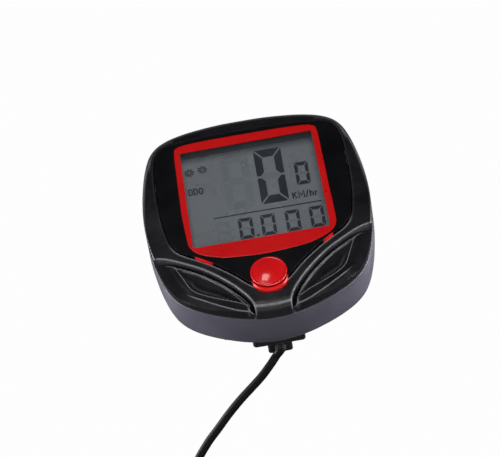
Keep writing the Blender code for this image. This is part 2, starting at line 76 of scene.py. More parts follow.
DOOR_Y, DOOR_R = -14.6, 8.0
SCREWS = [(17.6, 14.5), (-17.6, 14.5), (16.0, -15.0), (-16.0, -15.0)]   # x, y on the head
CONTACT_X, CONTACT_Y = 3.4, 8.2          # dock contacts on the head
BADGE_CENTRE, BADGE_R = (0.2, -16.85), 3.75
LEAD_Z = 13.1                            # the lead's height where it leaves the bracket
SENSOR = (-26.0, -23.5, -56.0)           # the top of the fork sensor, from the bar's axis
SIDES = ((-1, "left"), (1, "right"))

# ---------- measured outlines: x, y on the head ----------
# right halves, from the top round to the bottom
HEAD_HALF = [
    (0, 25.9), (5, 25.8), (10, 25.3), (13.5, 24.65), (16.3, 23.75), (18.6, 22.4), (20.2, 20.5),
    (21.3, 17.9), (22.2, 14.5), (22.95, 10), (23.35, 6), (23.5, 2), (23.35, -2), (22.85, -6),
    (22.05, -10.2), (20.95, -13.9), (19.5, -16.8), (17.3, -19.2), (14.2, -21.3), (10.4, -23.15),
    (5.6, -24.8), (0, -25.5)]
WINDOW_HALF = [
    (0, 22.1), (8, 22.0), (13.5, 21.5), (16.9, 20.9), (18.7, 19.6), (19.6, 17.2), (20.0, 13.2),
    (20.1, 8), (19.9, 2), (19.2, -3.2), (18.2, -6.1), (16.5, -8.0), (13.3, -10.05),
    (10.0, -12.45), (6.9, -15.2), (4.95, -17.3), (3.4, -18.8), (1.8, -19.7), (0, -20.0)]
RED_FRAME_HALF = [
    (0, 20.9), (7.5, 20.85), (12.4, 20.6), (14.3, 20.1), (15.05, 18.8), (15.3, 12),
    (15.45, 3.5), (15.65, -4.5), (15.4, -6.9), (14.0, -8.7), (11.2, -10.1), (7.6, -10.95),
    (0, -11.5)]
# the gap between the cover and the right-hand button, from the side down to the chin
GAP = [
    (26, -7.3), (21.6, -8.2), (19.3, -9.05), (16.7, -10.5), (13.35, -12.6), (10.25, -15.2),
    (7.5, -18.05), (5.3, -21.0), (4.35, -22.9), (4.05, -24.5), (4.0, -27.5)]
# the leaf-shaped hollow in the right-hand button
LEAF = [
    (18.2, -10.9), (16.5, -11.5), (14.7, -12.7), (12.3, -14.4), (9.8, -16.5), (7.8, -18.8),
    (6.3, -20.9), (5.6, -22.4), (5.8, -22.75), (7.2, -21.9), (9.2, -20.9), (11.2, -20.0),
    (13.5, -18.8), (15.3, -17.5), (16.3, -16.1), (17.2, -13.8), (18.1, -11.6)]


# ---------- plane geometry ----------
def catmull_rom(a, b, c, d, part):
    """The curve through a, b, c and d at a part of the way from b to c."""
    return 0.5 * (2 * b + (c - a) * part + (2 * a - 5 * b + 4 * c - d) * part * part
                  + (3 * b - a - 3 * c + d) * part ** 3)


def spline(points, count, closed=True):
    """A smooth curve through the points, cut into even steps with count points."""
    total, dense = len(points), []
    for i in range(total if closed else total - 1):
        near = [points[(i + k) % total] if closed else points[min(max(i + k, 0), total - 1)]
                for k in (-1, 0, 1, 2)]
        for step in range(24):
            dense.append(tuple(catmull_rom(*along, step / 24) for along in zip(*near)))
    dense.append(dense[0] if closed else tuple(points[-1]))
    curve = np.array(dense)
    lengths = np.linalg.norm(np.diff(curve, axis=0), axis=1)
    run = np.concatenate([[0], np.cumsum(lengths)])
    wanted = np.linspace(0, run[-1], count, endpoint=not closed)
    return np.stack([np.interp(wanted, run, curve[:, k]) for k in range(curve.shape[1])], 1)


def mirrored(half, count):
    """The anticlockwise loop made of a right half and its mirror image."""
    left = [(-x, y) for x, y in half[1:-1]]
    return spline(half + left[::-1], count)[::-1].copy()


def flip(line):
    """The line mirrored to the other side, still turning the same way."""
    return (np.asarray(line) * np.array([-1, 1]))[::-1].copy()


def anticlockwise(loop):
    if np.cross(loop, np.roll(loop, -1, 0)).sum() < 0:
        return loop[::-1].copy()
    return loop


def unit(vectors):
    return vectors / np.maximum(np.linalg.norm(vectors, axis=1), 1e-9)[:, None]


def shift(line, distance, closed=True):
    """The line moved to its left by distance: inwards for an anticlockwise loop."""
    points = np.asarray(line, float)
    if closed:
        before, after = points - np.roll(points, 1, 0), np.roll(points, -1, 0) - points
    else:
        steps = points[1:] - points[:-1]
        before, after = np.vstack([steps[0], steps]), np.vstack([steps, steps[-1]])
    before, after = unit(before), unit(after)
    along = before + after
    normal = unit(np.stack([-along[:, 1], along[:, 0]], 1))
    cosine = np.maximum(0.5, normal[:, 0] * -before[:, 1] + normal[:, 1] * before[:, 0])
    return points + normal * (distance / cosine)[:, None]


def inside(points, loop):
    """Which points lie inside the loop; they go in batches to save memory."""
    points, start = np.asarray(points, float), np.asarray(loop, float)
    end = np.roll(start, -1, 0)
    result = np.zeros(len(points), bool)
    rise = end[:, 1] - start[:, 1]
    rise = np.where(rise == 0, 1e-30, rise)
    for first in range(0, len(points), 3000):
        batch = slice(first, first + 3000)
        x, y = points[batch, 0:1], points[batch, 1:2]
        crossing = (end[:, 0] - start[:, 0]) * (y - start[:, 1]) / rise + start[:, 0]
        hit = ((start[:, 1] > y) != (end[:, 1] > y)) & (x < crossing)
        result[batch] = hit.sum(1) % 2 == 1
    return result


def distance_to(points, line, closed=True):
    """The distance of each point from a line, in batches to save memory."""
    points, start = np.asarray(points, float), np.asarray(line, float)
    end = np.roll(start, -1, 0) if closed else start[1:]
    start = start if closed else start[:-1]
    span = end - start
    squared = np.maximum((span ** 2).sum(1), 1e-12)
    result = np.empty(len(points))
    for first in range(0, len(points), 1500):
        batch = slice(first, first + 1500)
        away = points[batch, None, :2] - start[None]
        part = np.clip((away * span).sum(2) / squared, 0, 1)
        result[batch] = np.sqrt(((away - part[..., None] * span) ** 2).sum(2).min(1))
    return result


def turn_angles(count, offset=0):
    return [2 * math.pi * (i + offset) / count for i in range(count)]


def circle(radius, count, x=0.0, y=0.0):
    angles = np.arange(count) * 2 * math.pi / count
    return np.stack([x + radius * np.cos(angles), y + radius * np.sin(angles)], 1)


def rect(x0, y0, x1, y1):
    return np.array([(x0, y0), (x1, y0), (x1, y1), (x0, y1)], float)


def rounded(x0, y0, x1, y1, radius, steps):
    """A rectangle with rounded corners of so many steps each."""
    loop = []
    corners = ((x1 - radius, y0 + radius, -90), (x1 - radius, y1 - radius, 0),
               (x0 + radius, y1 - radius, 90), (x0 + radius, y0 + radius, 180))
    for x, y, start in corners:
        for i in range(steps + 1):
            angle = math.radians(start + 90 * i / steps)
            loop.append((x + radius * math.cos(angle), y + radius * math.sin(angle)))
    return np.array(loop)


def ease(start, end, x):
    """0 at start rising smoothly to 1 at end."""
    part = np.clip((x - start) / (end - start), 0, 1)
    return part * part * (3 - 2 * part)


def quarter_round(part):
    """The fall of a quarter circle as part goes from 0 to 1."""
    return 1 - np.sqrt(np.maximum(0, 1 - part * part))


def fall(distance, radius, height=None):
    """How far a rounded edge has fallen at a distance from it; height defaults to radius."""
    part = np.clip(1 - distance / radius, 0, 1)
    return (radius if height is None else height) * quarter_round(part)


def line_at(distance, centre, width):
    """1 on a line at distance centre, falling to 0 at width either side."""
    return np.clip(1 - np.abs(distance - centre) / width, 0, 1)


def level(height):
    """A flat surface, as a function of the plan."""
    return lambda points: np.full(len(points), height)


# ---------- shapes: each is (vertices, faces) ----------
def loft(rings, closed=False):
    """Rings joined in order; capped at the ends, or closed into a loop."""
    count = len(rings[0])
    verts = np.concatenate([np.asarray(ring, float) for ring in rings])
    faces = []
    for k in range(len(rings) if closed else len(rings) - 1):
        this, after = k * count, ((k + 1) % len(rings)) * count
        for i in range(count):
            j = (i + 1) % count
            faces.append((this + i, this + j, after + j, after + i))
    if not closed:
        last = (len(rings) - 1) * count
        faces += [tuple(range(count - 1, -1, -1)), tuple(range(last, last + count))]
    return verts, faces


def stack(loop, levels):
    """A loop lofted through levels of (inset, z)."""
    rings = []
    for inset, z in levels:
        ring = shift(loop, inset) if inset else np.asarray(loop, float)
        rings.append(np.column_stack([ring, np.full(len(ring), z)]))
    return loft(rings)


def prism(loop, z0, z1):
    return stack(loop, [(0, z0), (0, z1)])


def turned(profile, count, x, y):
    """A solid turned about a line along z; the profile runs (radius, z) from bottom to top."""
    verts, faces, rings = [], [], []
    for radius, z in profile:
        if radius < 1e-6:
            rings.append([len(verts)])
            verts.append((x, y, z))
        else:
            rings.append(list(range(len(verts), len(verts) + count)))
            verts += [(x + radius * math.cos(angle), y + radius * math.sin(angle), z)
                      for angle in turn_angles(count)]
    for low, high in zip(rings, rings[1:]):
        for i in range(count):
            j = (i + 1) % count
            if len(low) == 1:
                faces.append((low[0], high[j], high[i]))
            elif len(high) == 1:
                faces.append((low[i], low[j], high[0]))
            else:
                faces.append((low[i], low[j], high[j], high[i]))
    return np.array(verts), faces


def sweep(path, section, up=(1, 0, 0), closed=False):
    """A section carried along a path; up is where its first axis points at the start."""
    path = np.asarray(path, float)
    rings, count = [], len(path)
    across = Vector(up)
    for i in range(count):
        if closed:
            before, after = path[i - 1], path[(i + 1) % count]
        else:
            before, after = path[max(i - 1, 0)], path[min(i + 1, count - 1)]
        along = Vector(after - before).normalized()
        first = across - along * across.dot(along)
        first.normalize()
        if not closed:
            across = first.copy()
        second = along.cross(first)
        rings.append([tuple(Vector(path[i]) + first * a + second * b) for a, b in section])
    return loft(rings, closed)


def merge(shapes):
    verts, faces = [], []
    for points, polygons in shapes:
        faces += [tuple(i + len(verts) for i in polygon) for polygon in polygons]
        verts += [tuple(point) for point in points]
    return np.array(verts), faces


# ---------- objects ----------
def place(points, at):
    """Points in metres in the world, from mm in one of three frames. In "world" the axes are
    upright and start on the bar's axis; in "bracket" they are tilted about it, with y up the
    face and z out of it; "head" is the bracket's frame moved along y by HEAD_Y."""
    points = np.array(points, float)
    if at == "world":
        return (points + BAR_AXIS) / 1000
    if at == "head":
        points = points + np.array([0, HEAD_Y, 0])
    x, y, z = points.T
    tilted = np.stack([x, y * COS_TILT - z * SIN_TILT, y * SIN_TILT + z * COS_TILT], 1)
    return (tilted + BAR_AXIS) / 1000


def add_object(name, mesh):
    obj = bpy.data.objects.new(name, mesh)
    bpy.context.scene.collection.objects.link(obj)
    return obj


def plain_object(name, shape, at):
    verts, faces = shape
    mesh = bpy.data.meshes.new(name)
    mesh.from_pydata([tuple(point) for point in place(verts, at)], [],
                     [tuple(int(i) for i in face) for face in faces])
    bm = bmesh.new()
    bm.from_mesh(mesh)
    bmesh.ops.recalc_face_normals(bm, faces=bm.faces)
    bm.to_mesh(mesh)
    bm.free()
    return add_object(name, mesh)


def finish(obj, material, body, replaces=None, sharp=32):
    """Material, shading with edges sharp above an angle in degrees, and place in the frame."""
    obj.data.materials.clear()
    obj.data.materials.append(material)
    obj.data.shade_smooth()
    obj.data.set_sharp_from_angle(angle=math.radians(sharp))
    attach(obj, body)
    next(slot for slot, members in SLOTS.items() if material in members)
    if replaces:
        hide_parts(replaces)
    return obj


def mesh_object(name, shape, material, body="head", replaces=None, at="head", sharp=32):
    return finish(plain_object(name, shape, at), material, body, replaces, sharp)


JOIN, CUT = "UNION", "DIFFERENCE"


def carve(name, base, steps, material, body, replaces, bevel, at="head", segments=2):
    """base with each (operation, shape) of steps applied, then its sharp edges bevelled."""
    obj = plain_object("raw", base, at)
    tools = []
    for operation, shape in steps:
        tool = plain_object("raw", shape, at)
        tools.append(tool)
        boolean = obj.modifiers.new("boolean", "BOOLEAN")
        boolean.operation, boolean.object, boolean.solver = operation, tool, "EXACT"
    rounding = obj.modifiers.new("rounding", "BEVEL")
    rounding.width, rounding.segments = bevel / 1000, segments
    rounding.limit_method, rounding.angle_limit = "ANGLE", math.radians(38)
    rounding.use_clamp_overlap = True
    rounding.miter_outer = "MITER_ARC"
    graph = bpy.context.evaluated_depsgraph_get()
    mesh = bpy.data.meshes.new_from_object(obj.evaluated_get(graph))
    for used in tools + [obj]:
        bpy.data.objects.remove(used)
    return finish(add_object(name, mesh), material, body, replaces)


def plan_points(keep, curves, spacing):
    """Points filling the part of the plane that keep() accepts: alongside the curves at their
    offsets, then in a triangular grid."""
    groups = []
    for line, closed, offsets in curves:
        for offset in offsets:
            for row in (shift(line, offset, closed), shift(line, -offset, closed)):
                row = row[keep(row)]
                for other, other_closed, _ in curves:
                    if len(row):
                        row = row[distance_to(row, other, other_closed) > offset * 0.93]
                if len(row):
                    groups.append(row)
    ends = np.concatenate([line[:, :2] for line, _, _ in curves])
    low, high = ends.min(0), ends.max(0)
    rows = []
    for j, y in enumerate(np.arange(low[1], high[1], spacing * 0.866)):
        x = np.arange(low[0] + (j % 2) * spacing / 2, high[0], spacing)
        rows.append(np.stack([x, np.full_like(x, y)], 1))
    grid = np.concatenate(rows)
    grid = grid[keep(grid)]
    for line, closed, offsets in curves:
        if len(grid):
            clear_by = max((*offsets, 0)) + 0.5 * spacing
            grid = grid[distance_to(grid, line, closed) > clear_by]
    points = np.concatenate(groups + [grid])
    _, first = np.unique(np.round(points / 0.05).astype(int), axis=0, return_index=True)
    return points[np.sort(first)]


def plate(name, keep, curves, top, bottom, material, body="head", replaces=None, spacing=0.8,
          sharp=32, painted_highlight=None):
    """A solid whose plan is the part of the plane that keep() accepts, bounded by the curves,
    with top and bottom heights given by functions of the plan. curves: (points, closed, offsets
    at which extra points run alongside). The last argument gives how much painted highlight each
    point of the top takes, from 0 to 1; the material brightens with it."""
    fixed, edges = [], []
    for line, closed, _ in curves:
        base, count = len(fixed), len(line)
        fixed += [Vector(point[:2]) for point in line]
        edges += [(base + i, base + (i + 1) % count)
                  for i in range(count if closed else count - 1)]
    free = [Vector(point) for point in plan_points(keep, curves, spacing)]
    plan = delaunay_2d_cdt(fixed + free, edges, [], 0, 1e-5)
    points = np.array([tuple(point) for point in plan[0]])
    tris = np.array([tuple(tri) for tri in plan[2]])
    tris = tris[keep(points[tris].mean(1))]
    area = np.cross(points[tris[:, 1]] - points[tris[:, 0]],
                    points[tris[:, 2]] - points[tris[:, 0]])
    tris[area < 0] = tris[area < 0][:, ::-1]
    used, index = np.unique(tris, return_inverse=True)
    points, tris = points[used], index.reshape(-1, 3)
    count = len(points)
    verts = np.concatenate([np.column_stack([points, top(points)]),
                            np.column_stack([points, bottom(points)])])
    directed = {(int(tri[i]), int(tri[(i + 1) % 3])) for tri in tris for i in range(3)}
    walls = [(a + count, b + count, b, a) for a, b in directed if (b, a) not in directed]
    faces = [tuple(tri) for tri in tris]
    faces += [tuple(int(i) + count for i in tri[::-1]) for tri in tris] + walls
    obj = mesh_object(name, (verts, faces), material, body, replaces, sharp=sharp)
    # A vertex attribute for the painted highlight lines, which the material brightens towards a
    # light grey.
    if painted_highlight is not None:
        layer = obj.data.attributes.new("painted_highlight", "FLOAT", "POINT")
        amounts = np.concatenate([np.clip(painted_highlight(points), 0, 1), np.zeros(count)])
        layer.data.foreach_set("value", amounts.astype(np.float32))


# ---------- shader nodes ----------
def feed(socket, source):
    """Links a source socket to an input, or sets the input's value."""
    if isinstance(source, bpy.types.NodeSocket):
        socket.id_data.links.new(source, socket)
    else:
        socket.default_value = source


def add_node(tree, kind, **settings):
    """A new node; each setting is what feeds an input or else a property."""
    node = tree.nodes.new(kind)
    for key, setting in settings.items():
        if key in node.inputs:
            feed(node.inputs[key], setting)
        else:
            setattr(node, key, setting)
    return node


def object_coords(tree):
    return add_node(tree, "ShaderNodeTexCoord").outputs["Object"]


def noise(tree, vector, size, detail, roughness):
    """Noise with features of a size in mm."""
    return add_node(tree, "ShaderNodeTexNoise", Vector=vector, Scale=1000 / size, Detail=detail,
                    Roughness=roughness).outputs["Fac"]


def remap(tree, source, before, after=(0.0, 1.0), **settings):
    node = add_node(tree, "ShaderNodeMapRange", **settings)
    node.inputs["From Min"].default_value, node.inputs["From Max"].default_value = before
    node.inputs["To Min"].default_value, node.inputs["To Max"].default_value = after
    feed(node.inputs["Value"], source)
    return node.outputs["Result"]


def maths(tree, operation, first, second):
    node = add_node(tree, "ShaderNodeMath", operation=operation)
    feed(node.inputs[0], first)
    feed(node.inputs[1], second)
    return node.outputs[0]


def mix_colour(tree, factor, first, second, **settings):
    return add_node(tree, "ShaderNodeMix", data_type="RGBA", **settings, Factor=factor, A=first,
                    B=second).outputs["Result"]


def distance_along(tree, axis):
    node = add_node(tree, "ShaderNodeVectorMath", operation="DOT_PRODUCT")
    feed(node.inputs[0], object_coords(tree))
    node.inputs[1].default_value = axis
    return node.outputs["Value"]


def head_distance(axis, y, z):
    """What distance_along gives at a point of the head."""
    return float(np.dot(place([(0, y, z)], "head")[0], axis))


def node_material(name):
    material = bpy.data.materials.new(name)
    material.use_nodes = True
    return material, material.node_tree


# ---------- materials ----------
MIDDLE = (0.3, 0.7)   # the part of a noise's range that is spread over a result


def uneven(name, rough, spread=0.08, metallic=0.0, specular=0.5, coat=0.0, smudge=0.0):
    """A material without a colour, its roughness blotchy by spread and raised by smudges.
    Returns it with its shader, its coordinates and the blotches."""
    material, tree = node_material(name)
    shader = tree.nodes["Principled BSDF"]
    coords = object_coords(tree)
    blotches = noise(tree, coords, size=7.0, detail=5.0, roughness=0.6)
    roughness = remap(tree, blotches, MIDDLE, (max(0.02, rough - spread), rough + spread))
    if smudge:
        dust = noise(tree, coords, size=2.2, detail=8.0, roughness=0.7)
        roughness = maths(tree, "ADD", roughness, remap(tree, dust, (0.5, 0.72), (0.0, smudge)))
    feed(shader.inputs["Roughness"], roughness)
    shader.inputs["Metallic"].default_value = metallic
    shader.inputs["Specular IOR Level"].default_value = specular
    shader.inputs["Coat Weight"].default_value = coat
    shader.inputs["Coat Roughness"].default_value = 0.08
    return material, shader, coords, blotches


def moulded(name, colour, rough, grain=0.1, bump=0.03, mottle=0.18, edge_wear_and_highlight=0.0, edge_wear_and_highlight_colour=None,
            brushed=False, painted_highlight=None, **surface):
    """A mottled, grained surface. grain and bump are the width and depth of its grain in mm,
    mottle how far its tone strays, and the two wear arguments how much of a lighter colour shows
    on sharp edges and which colour: partly edge wear, partly a painted highlight. The highlight
    argument is the light grey of painted highlight that the vertex attribute of the same name
    brightens it to. brushed draws the grain out along x; surface goes to uneven()."""
    material, shader, coords, blotches = uneven(name, rough, **surface)
    tree = material.node_tree
    mapping = add_node(tree, "ShaderNodeMapping", Vector=coords)
    if brushed:
        mapping.inputs["Scale"].default_value = (1, 14, 14)
    grains = noise(tree, mapping.outputs["Vector"], size=grain, detail=3.0, roughness=0.55)
    tone = remap(tree, blotches, MIDDLE, (1 - mottle, 1 + mottle))
    speck = remap(tree, grains, MIDDLE, (1 - mottle * 0.6, 1 + mottle * 0.6))
    scaled = add_node(tree, "ShaderNodeVectorMath", operation="SCALE",
                      Scale=maths(tree, "MULTIPLY", tone, speck))
    scaled.inputs[0].default_value = colour
    shown = scaled.outputs["Vector"]
    # Lighter on sharp edges, found by pointiness: partly edge wear, partly a painted highlight
    # along the edges.
    if edge_wear_and_highlight:
        pointiness = add_node(tree, "ShaderNodeNewGeometry").outputs["Pointiness"]
        edge = remap(tree, pointiness, (0.53, 0.62), (0.0, edge_wear_and_highlight))
        shown = mix_colour(tree, maths(tree, "MULTIPLY", edge, tone), shown, (*edge_wear_and_highlight_colour, 1))
    # Painted highlight: the colour brightens towards a light grey where the vertex attribute asks,
    # for light caught by edges.
    if painted_highlight:
        painted_highlight_amount = add_node(tree, "ShaderNodeAttribute", attribute_name="painted_highlight").outputs["Fac"]
        shown = mix_colour(tree, painted_highlight_amount, shown, (*painted_highlight, 1))
    feed(shader.inputs["Base Color"], shown)
    if bump:
        relief = add_node(tree, "ShaderNodeBump", Strength=min(1.0, bump * 10),
                          Distance=bump / 1000, Height=grains)
        feed(shader.inputs["Normal"], relief.outputs["Normal"])
    return material


def lcd_material(name, colour):
    """The cell's surface, darker towards its upper edge where the well's wall shades it."""
    material = moulded(name, colour, rough=0.28, grain=0.12, bump=0.004, mottle=0.035, spread=0.04)
    tree = material.node_tree
    base = tree.nodes["Principled BSDF"].inputs["Base Color"]
    shaded = [head_distance(UP_FACE, y, LCD_TOP) for y in (16.3, 19.0)]
    dimming = remap(tree, distance_along(tree, UP_FACE), shaded, interpolation_type="SMOOTHSTEP")
    feed(base, mix_colour(tree, dimming, base.links[0].from_socket, (0.42, 0.41, 0.43, 1),
                          blend_type="MULTIPLY"))
    return material


def well_material():
    """The wall of the screen's well, black above and grey towards the cell: a painted shade
    gradient that runs on into the painted shade at the cell's top edge.
    """
    material, shader, _, _ = uneven("well_wall", rough=0.5)
    tree = material.node_tree
    foot = head_distance(OUT_OF_FACE, 0, LCD_TOP)
    height = remap(tree, distance_along(tree, OUT_OF_FACE), (foot, foot + 0.0021))
    # painted shade gradient: grey at the cell, black higher up the wall
    grey, black = (0.075, 0.077, 0.084, 1), (0.009, 0.0095, 0.012, 1)
    feed(shader.inputs["Base Color"], mix_colour(tree, height, grey, black))
    return material


def clear_material():
    """A see-through plastic whose surfaces reflect only from outside."""
    material, tree = node_material("clear_window")
    tree.nodes.remove(tree.nodes["Principled BSDF"])
    dust = noise(tree, object_coords(tree), size=3.0, detail=7.0, roughness=0.65)
    fresnel = add_node(tree, "ShaderNodeFresnel", IOR=1.49).outputs["Fac"]
    behind = add_node(tree, "ShaderNodeNewGeometry").outputs["Backfacing"]
    outside = maths(tree, "SUBTRACT", 1.0, behind)
    gloss = add_node(tree, "ShaderNodeBsdfGlossy",
                     Roughness=remap(tree, dust, (0.35, 0.75), (0.03, 0.12)))
    through = add_node(tree, "ShaderNodeBsdfTransparent", Color=(0.97, 0.975, 0.98, 1))
    mix = add_node(tree, "ShaderNodeMixShader", Fac=maths(tree, "MULTIPLY", fresnel, outside))
    feed(mix.inputs[1], through.outputs["BSDF"])
    feed(mix.inputs[2], gloss.outputs["BSDF"])
    feed(tree.nodes["Material Output"].inputs["Surface"], mix.outputs["Shader"])
    return material


# The light grey that the painted highlight lines along edges brighten to.
PAINTED_HIGHLIGHT_GREY = (0.26, 0.26, 0.28)
SATIN = moulded("satin_black", (0.0068, 0.0065, 0.0080), rough=0.27, grain=0.16, bump=0.008,
                smudge=0.06, painted_highlight=PAINTED_HIGHLIGHT_GREY)
BUTTON = moulded("button_black", (0.0050, 0.0048, 0.0062), rough=0.28, specular=0.34,
                 grain=0.16, bump=0.008, smudge=0.05, painted_highlight=PAINTED_HIGHLIGHT_GREY)
GREY = moulded("case_grey", (0.080, 0.076, 0.102), rough=0.46, grain=0.22, bump=0.022,
               mottle=0.12, edge_wear_and_highlight=0.3, edge_wear_and_highlight_colour=(0.17, 0.165, 0.19))
RED = moulded("red_trim", (0.62, 0.0045, 0.005), rough=0.3, specular=0.3, grain=0.2, bump=0.004,
              mottle=0.05, spread=0.05)
BADGE = moulded("red_badge", (0.60, 0.006, 0.008), rough=0.16, grain=0.3, bump=0.003,
                mottle=0.06, coat=0.6, smudge=0.05)
PRINT = moulded("mask_black", (0.0014, 0.0014, 0.0022), rough=0.35, specular=0.2, grain=0.2,
                bump=0.004, mottle=0.1)
PLAIN = moulded("nylon_black", (0.010, 0.010, 0.012), rough=0.5, specular=0.32, grain=0.2,
                bump=0.02)
TIE = moulded("tie_black", (0.013, 0.013, 0.014), rough=0.48, specular=0.3, grain=0.3,
              bump=0.01, edge_wear_and_highlight=0.2, edge_wear_and_highlight_colour=(0.06, 0.06, 0.06))
RUBBER = moulded("rubber", (0.016, 0.016, 0.017), rough=0.78, grain=0.14, bump=0.05, mottle=0.2)
SHEATH = moulded("sheath", (0.0035, 0.0035, 0.0045), rough=0.5, specular=0.15, grain=0.5,
                 bump=0.01, mottle=0.15)
STEEL = moulded("plated_steel", (0.62, 0.62, 0.64), rough=0.27, metallic=1.0, grain=0.12,
                bump=0.008, mottle=0.08, brushed=True)
GOLD = moulded("plated_brass", (0.83, 0.62, 0.30), rough=0.24, metallic=1.0, grain=0.12,
               bump=0.006, mottle=0.08)
SEAL = moulded("silicone", (0.42, 0.42, 0.43), rough=0.6, grain=0.2, bump=0.02)
PCB = moulded("solder_mask", (0.012, 0.13, 0.045), rough=0.36, grain=0.35, bump=0.02,
              mottle=0.25)
FILM = moulded("silver_film", (0.5, 0.52, 0.5), rough=0.3, metallic=0.6, grain=0.3, bump=0.005)
EPOXY = moulded("chip_epoxy", (0.012, 0.012, 0.012), rough=0.4, grain=0.15, bump=0.02)
INK = moulded("lcd_ink", (0.018, 0.021, 0.03), rough=0.45, grain=0.4, bump=0.0, mottle=0.12)
LCD = lcd_material("lcd_cell", (0.168, 0.183, 0.192))
GHOST = lcd_material("lcd_ghost", (0.147, 0.162, 0.171))
WELL = well_material()
CLEAR = clear_material()

# the frame's material slots and the materials that stand for them
SLOTS = {"gloss_black": (SATIN, BUTTON, PRINT, WELL), "red_gloss": (RED, BADGE),
         "clear_window": (CLEAR,), "lcd": (LCD, GHOST, INK), "case_grey": (GREY,),
         "rubber": (RUBBER, SHEATH), "steel": (STEEL,), "contact_brass": (GOLD,),
         "black_plastic": (PLAIN, TIE)}

# pieces that keep the frame's shape and only take a material
FRAME_FINISHES = {
    "case_gasket": SEAL, "lcd_reflector": FILM, "lcd_connector_strip": RUBBER,
    "circuit_board": PCB, "processor_chip": EPOXY, "quartz_crystal": STEEL,
    "switch_dome_left": RUBBER, "switch_dome_right": RUBBER, "battery_cell": STEEL,
    "cell_contact_negative": GOLD, "cell_contact_positive": GOLD, "reed_switch": FILM}

# ---------- outlines on the head ----------
outline = mirrored(HEAD_HALF, 420)
window = mirrored(WINDOW_HALF, 360)
seat = shift(window, -0.14)          # the hole in the cover, just outside the window
gap = spline(GAP, 120, closed=False)
leaf = anticlockwise(spline(LEAF, 150))

# the red frame's lower left side is drawn in a little
red_frame = mirrored(RED_FRAME_HALF, 260)
red_frame[:, 0] += 0.6 * np.clip((2 - red_frame[:, 1]) / 9, 0, 1) * (red_frame[:, 0] < -9)

# the opening over the cell: its top edge slopes slightly and it narrows towards the top
opening = rounded(-14.3, -7.2, 14.3, 18.7, 0.45, 4)
opening[:, 1] += 0.012 * opening[:, 0] * (opening[:, 1] > 5)
opening[:, 0] *= 1 - 0.022 * (opening[:, 1] + 7.5) / 25.9


def corner(distance):
    """The gap line moved towards the right-hand button, and the corner region it bounds."""
    line = shift(gap, distance, closed=False)
    return line, np.vstack([line, [(30, -30), (30, line[0][1])]])


cover_gap, cover_corner = corner(-0.22)
button_gap, button_corner = corner(0.20)


# ---------- front cover ----------
def to_cover_gaps(points):
    return np.minimum(distance_to(points, cover_gap, False),
                      distance_to(points, flip(cover_gap), False))


def cover_keep(points):
    kept = inside(points, outline) & ~inside(points, seat)
    for region in (cover_corner, flip(cover_corner)):
        kept &= ~inside(points, region)
    return kept


def cover_top(points):
    edge, x, y = distance_to(points, outline), np.abs(points[:, 0]), points[:, 1]
    chin = ease(-18.5, -21.5, y) * ease(6.5, 5.0, x)
    # the rounded rim grows towards the top of the face and is largest on the chin
    width = 0.45 + 1.1 * ease(-4, 17, y) + 1.5 * chin
    drop = 0.5 + 0.7 * ease(-4, 17, y) + 1.2 * chin
    part = np.clip(1 - edge / width, 0, 1)
    z = COVER_TOP - drop * (0.22 * part + 0.78 * quarter_round(part))   # part slope, part round
    z -= 0.16 * ease(4.5, 1.0, edge) * ease(-12, 0, y)      # a slight fall towards the rim
    for line in (cover_gap, flip(cover_gap)):
        z -= fall(distance_to(points, line, False), 0.22, 0.18)
    z -= fall(distance_to(points, seat), 0.1) * ease(-6, -9, y)
    return z


# Painted highlight: lighter lines along the gaps, round the window's seat and along the outer rim,
# where the rounded edges would catch light.
def cover_painted_highlight(points):
    x, y = np.abs(points[:, 0]), points[:, 1]
    gaps = 0.9 * line_at(to_cover_gaps(points), 0.12, 0.16) * ease(22.6, 21.6, x)
    around_window = 0.07 + 0.93 * ease(-4.5, -7.5, y)
    around_window *= line_at(distance_to(points, seat), 0.08, 0.2)
    crest = 0.35 + 0.55 * ease(12, 21, y)
    rim = 0.42 * line_at(distance_to(points, outline), crest, 0.22) * ease(0, 14, y)
    return np.maximum(np.maximum(gaps, around_window), rim)


def cover_bottom(points):
    """A rim round the edge, a shallower inside and a rib round each button's opening."""
    edge, rib = distance_to(points, outline), to_cover_gaps(points) < 0.7
    return COVER_BOTTOM + ease(1.45, 1.6, edge) * (1.5 - 0.9 * rib)


def build_cover():
    rim_rows = (0.06, 0.16, 0.3, 0.5, 0.75, 1.05, 1.4, 1.62, 1.8, 2.1)
    gap_rows = (0.05, 0.1, 0.16, 0.23, 0.5, 0.9)
    curves = [(outline, True, rim_rows), (seat, True, (0.05, 0.1, 0.2, 0.5)),
              (cover_gap, False, gap_rows), (flip(cover_gap), False, gap_rows)]
    plate("front_cover_shell", cover_keep, curves, cover_top, cover_bottom, SATIN,
          replaces="front_cover", painted_highlight=cover_painted_highlight)


# ---------- screen: mask, wall of the well, red frame and window ----------
def ring_plate(name, outer, inner, outer_rows, inner_rows, top, bottom, material, spacing,
               replaces=None):
    """A plate between two loops."""
    plate(name, lambda points: inside(points, outer) & ~inside(points, inner),
          [(outer, True, outer_rows), (inner, True, inner_rows)],
          top, level(bottom), material, replaces=replaces, spacing=spacing)


def red_frame_top(points):
    return MASK_TOP + 0.045 - fall(distance_to(points, red_frame), 0.12, 0.03)


def lens_top(points):
    """Slightly crowned both ways."""
    x, y = points[:, 0], points[:, 1]
    return PANEL_TOP + (-0.10 * (x / 20) ** 2 - 0.06 * (y / 21) ** 2)


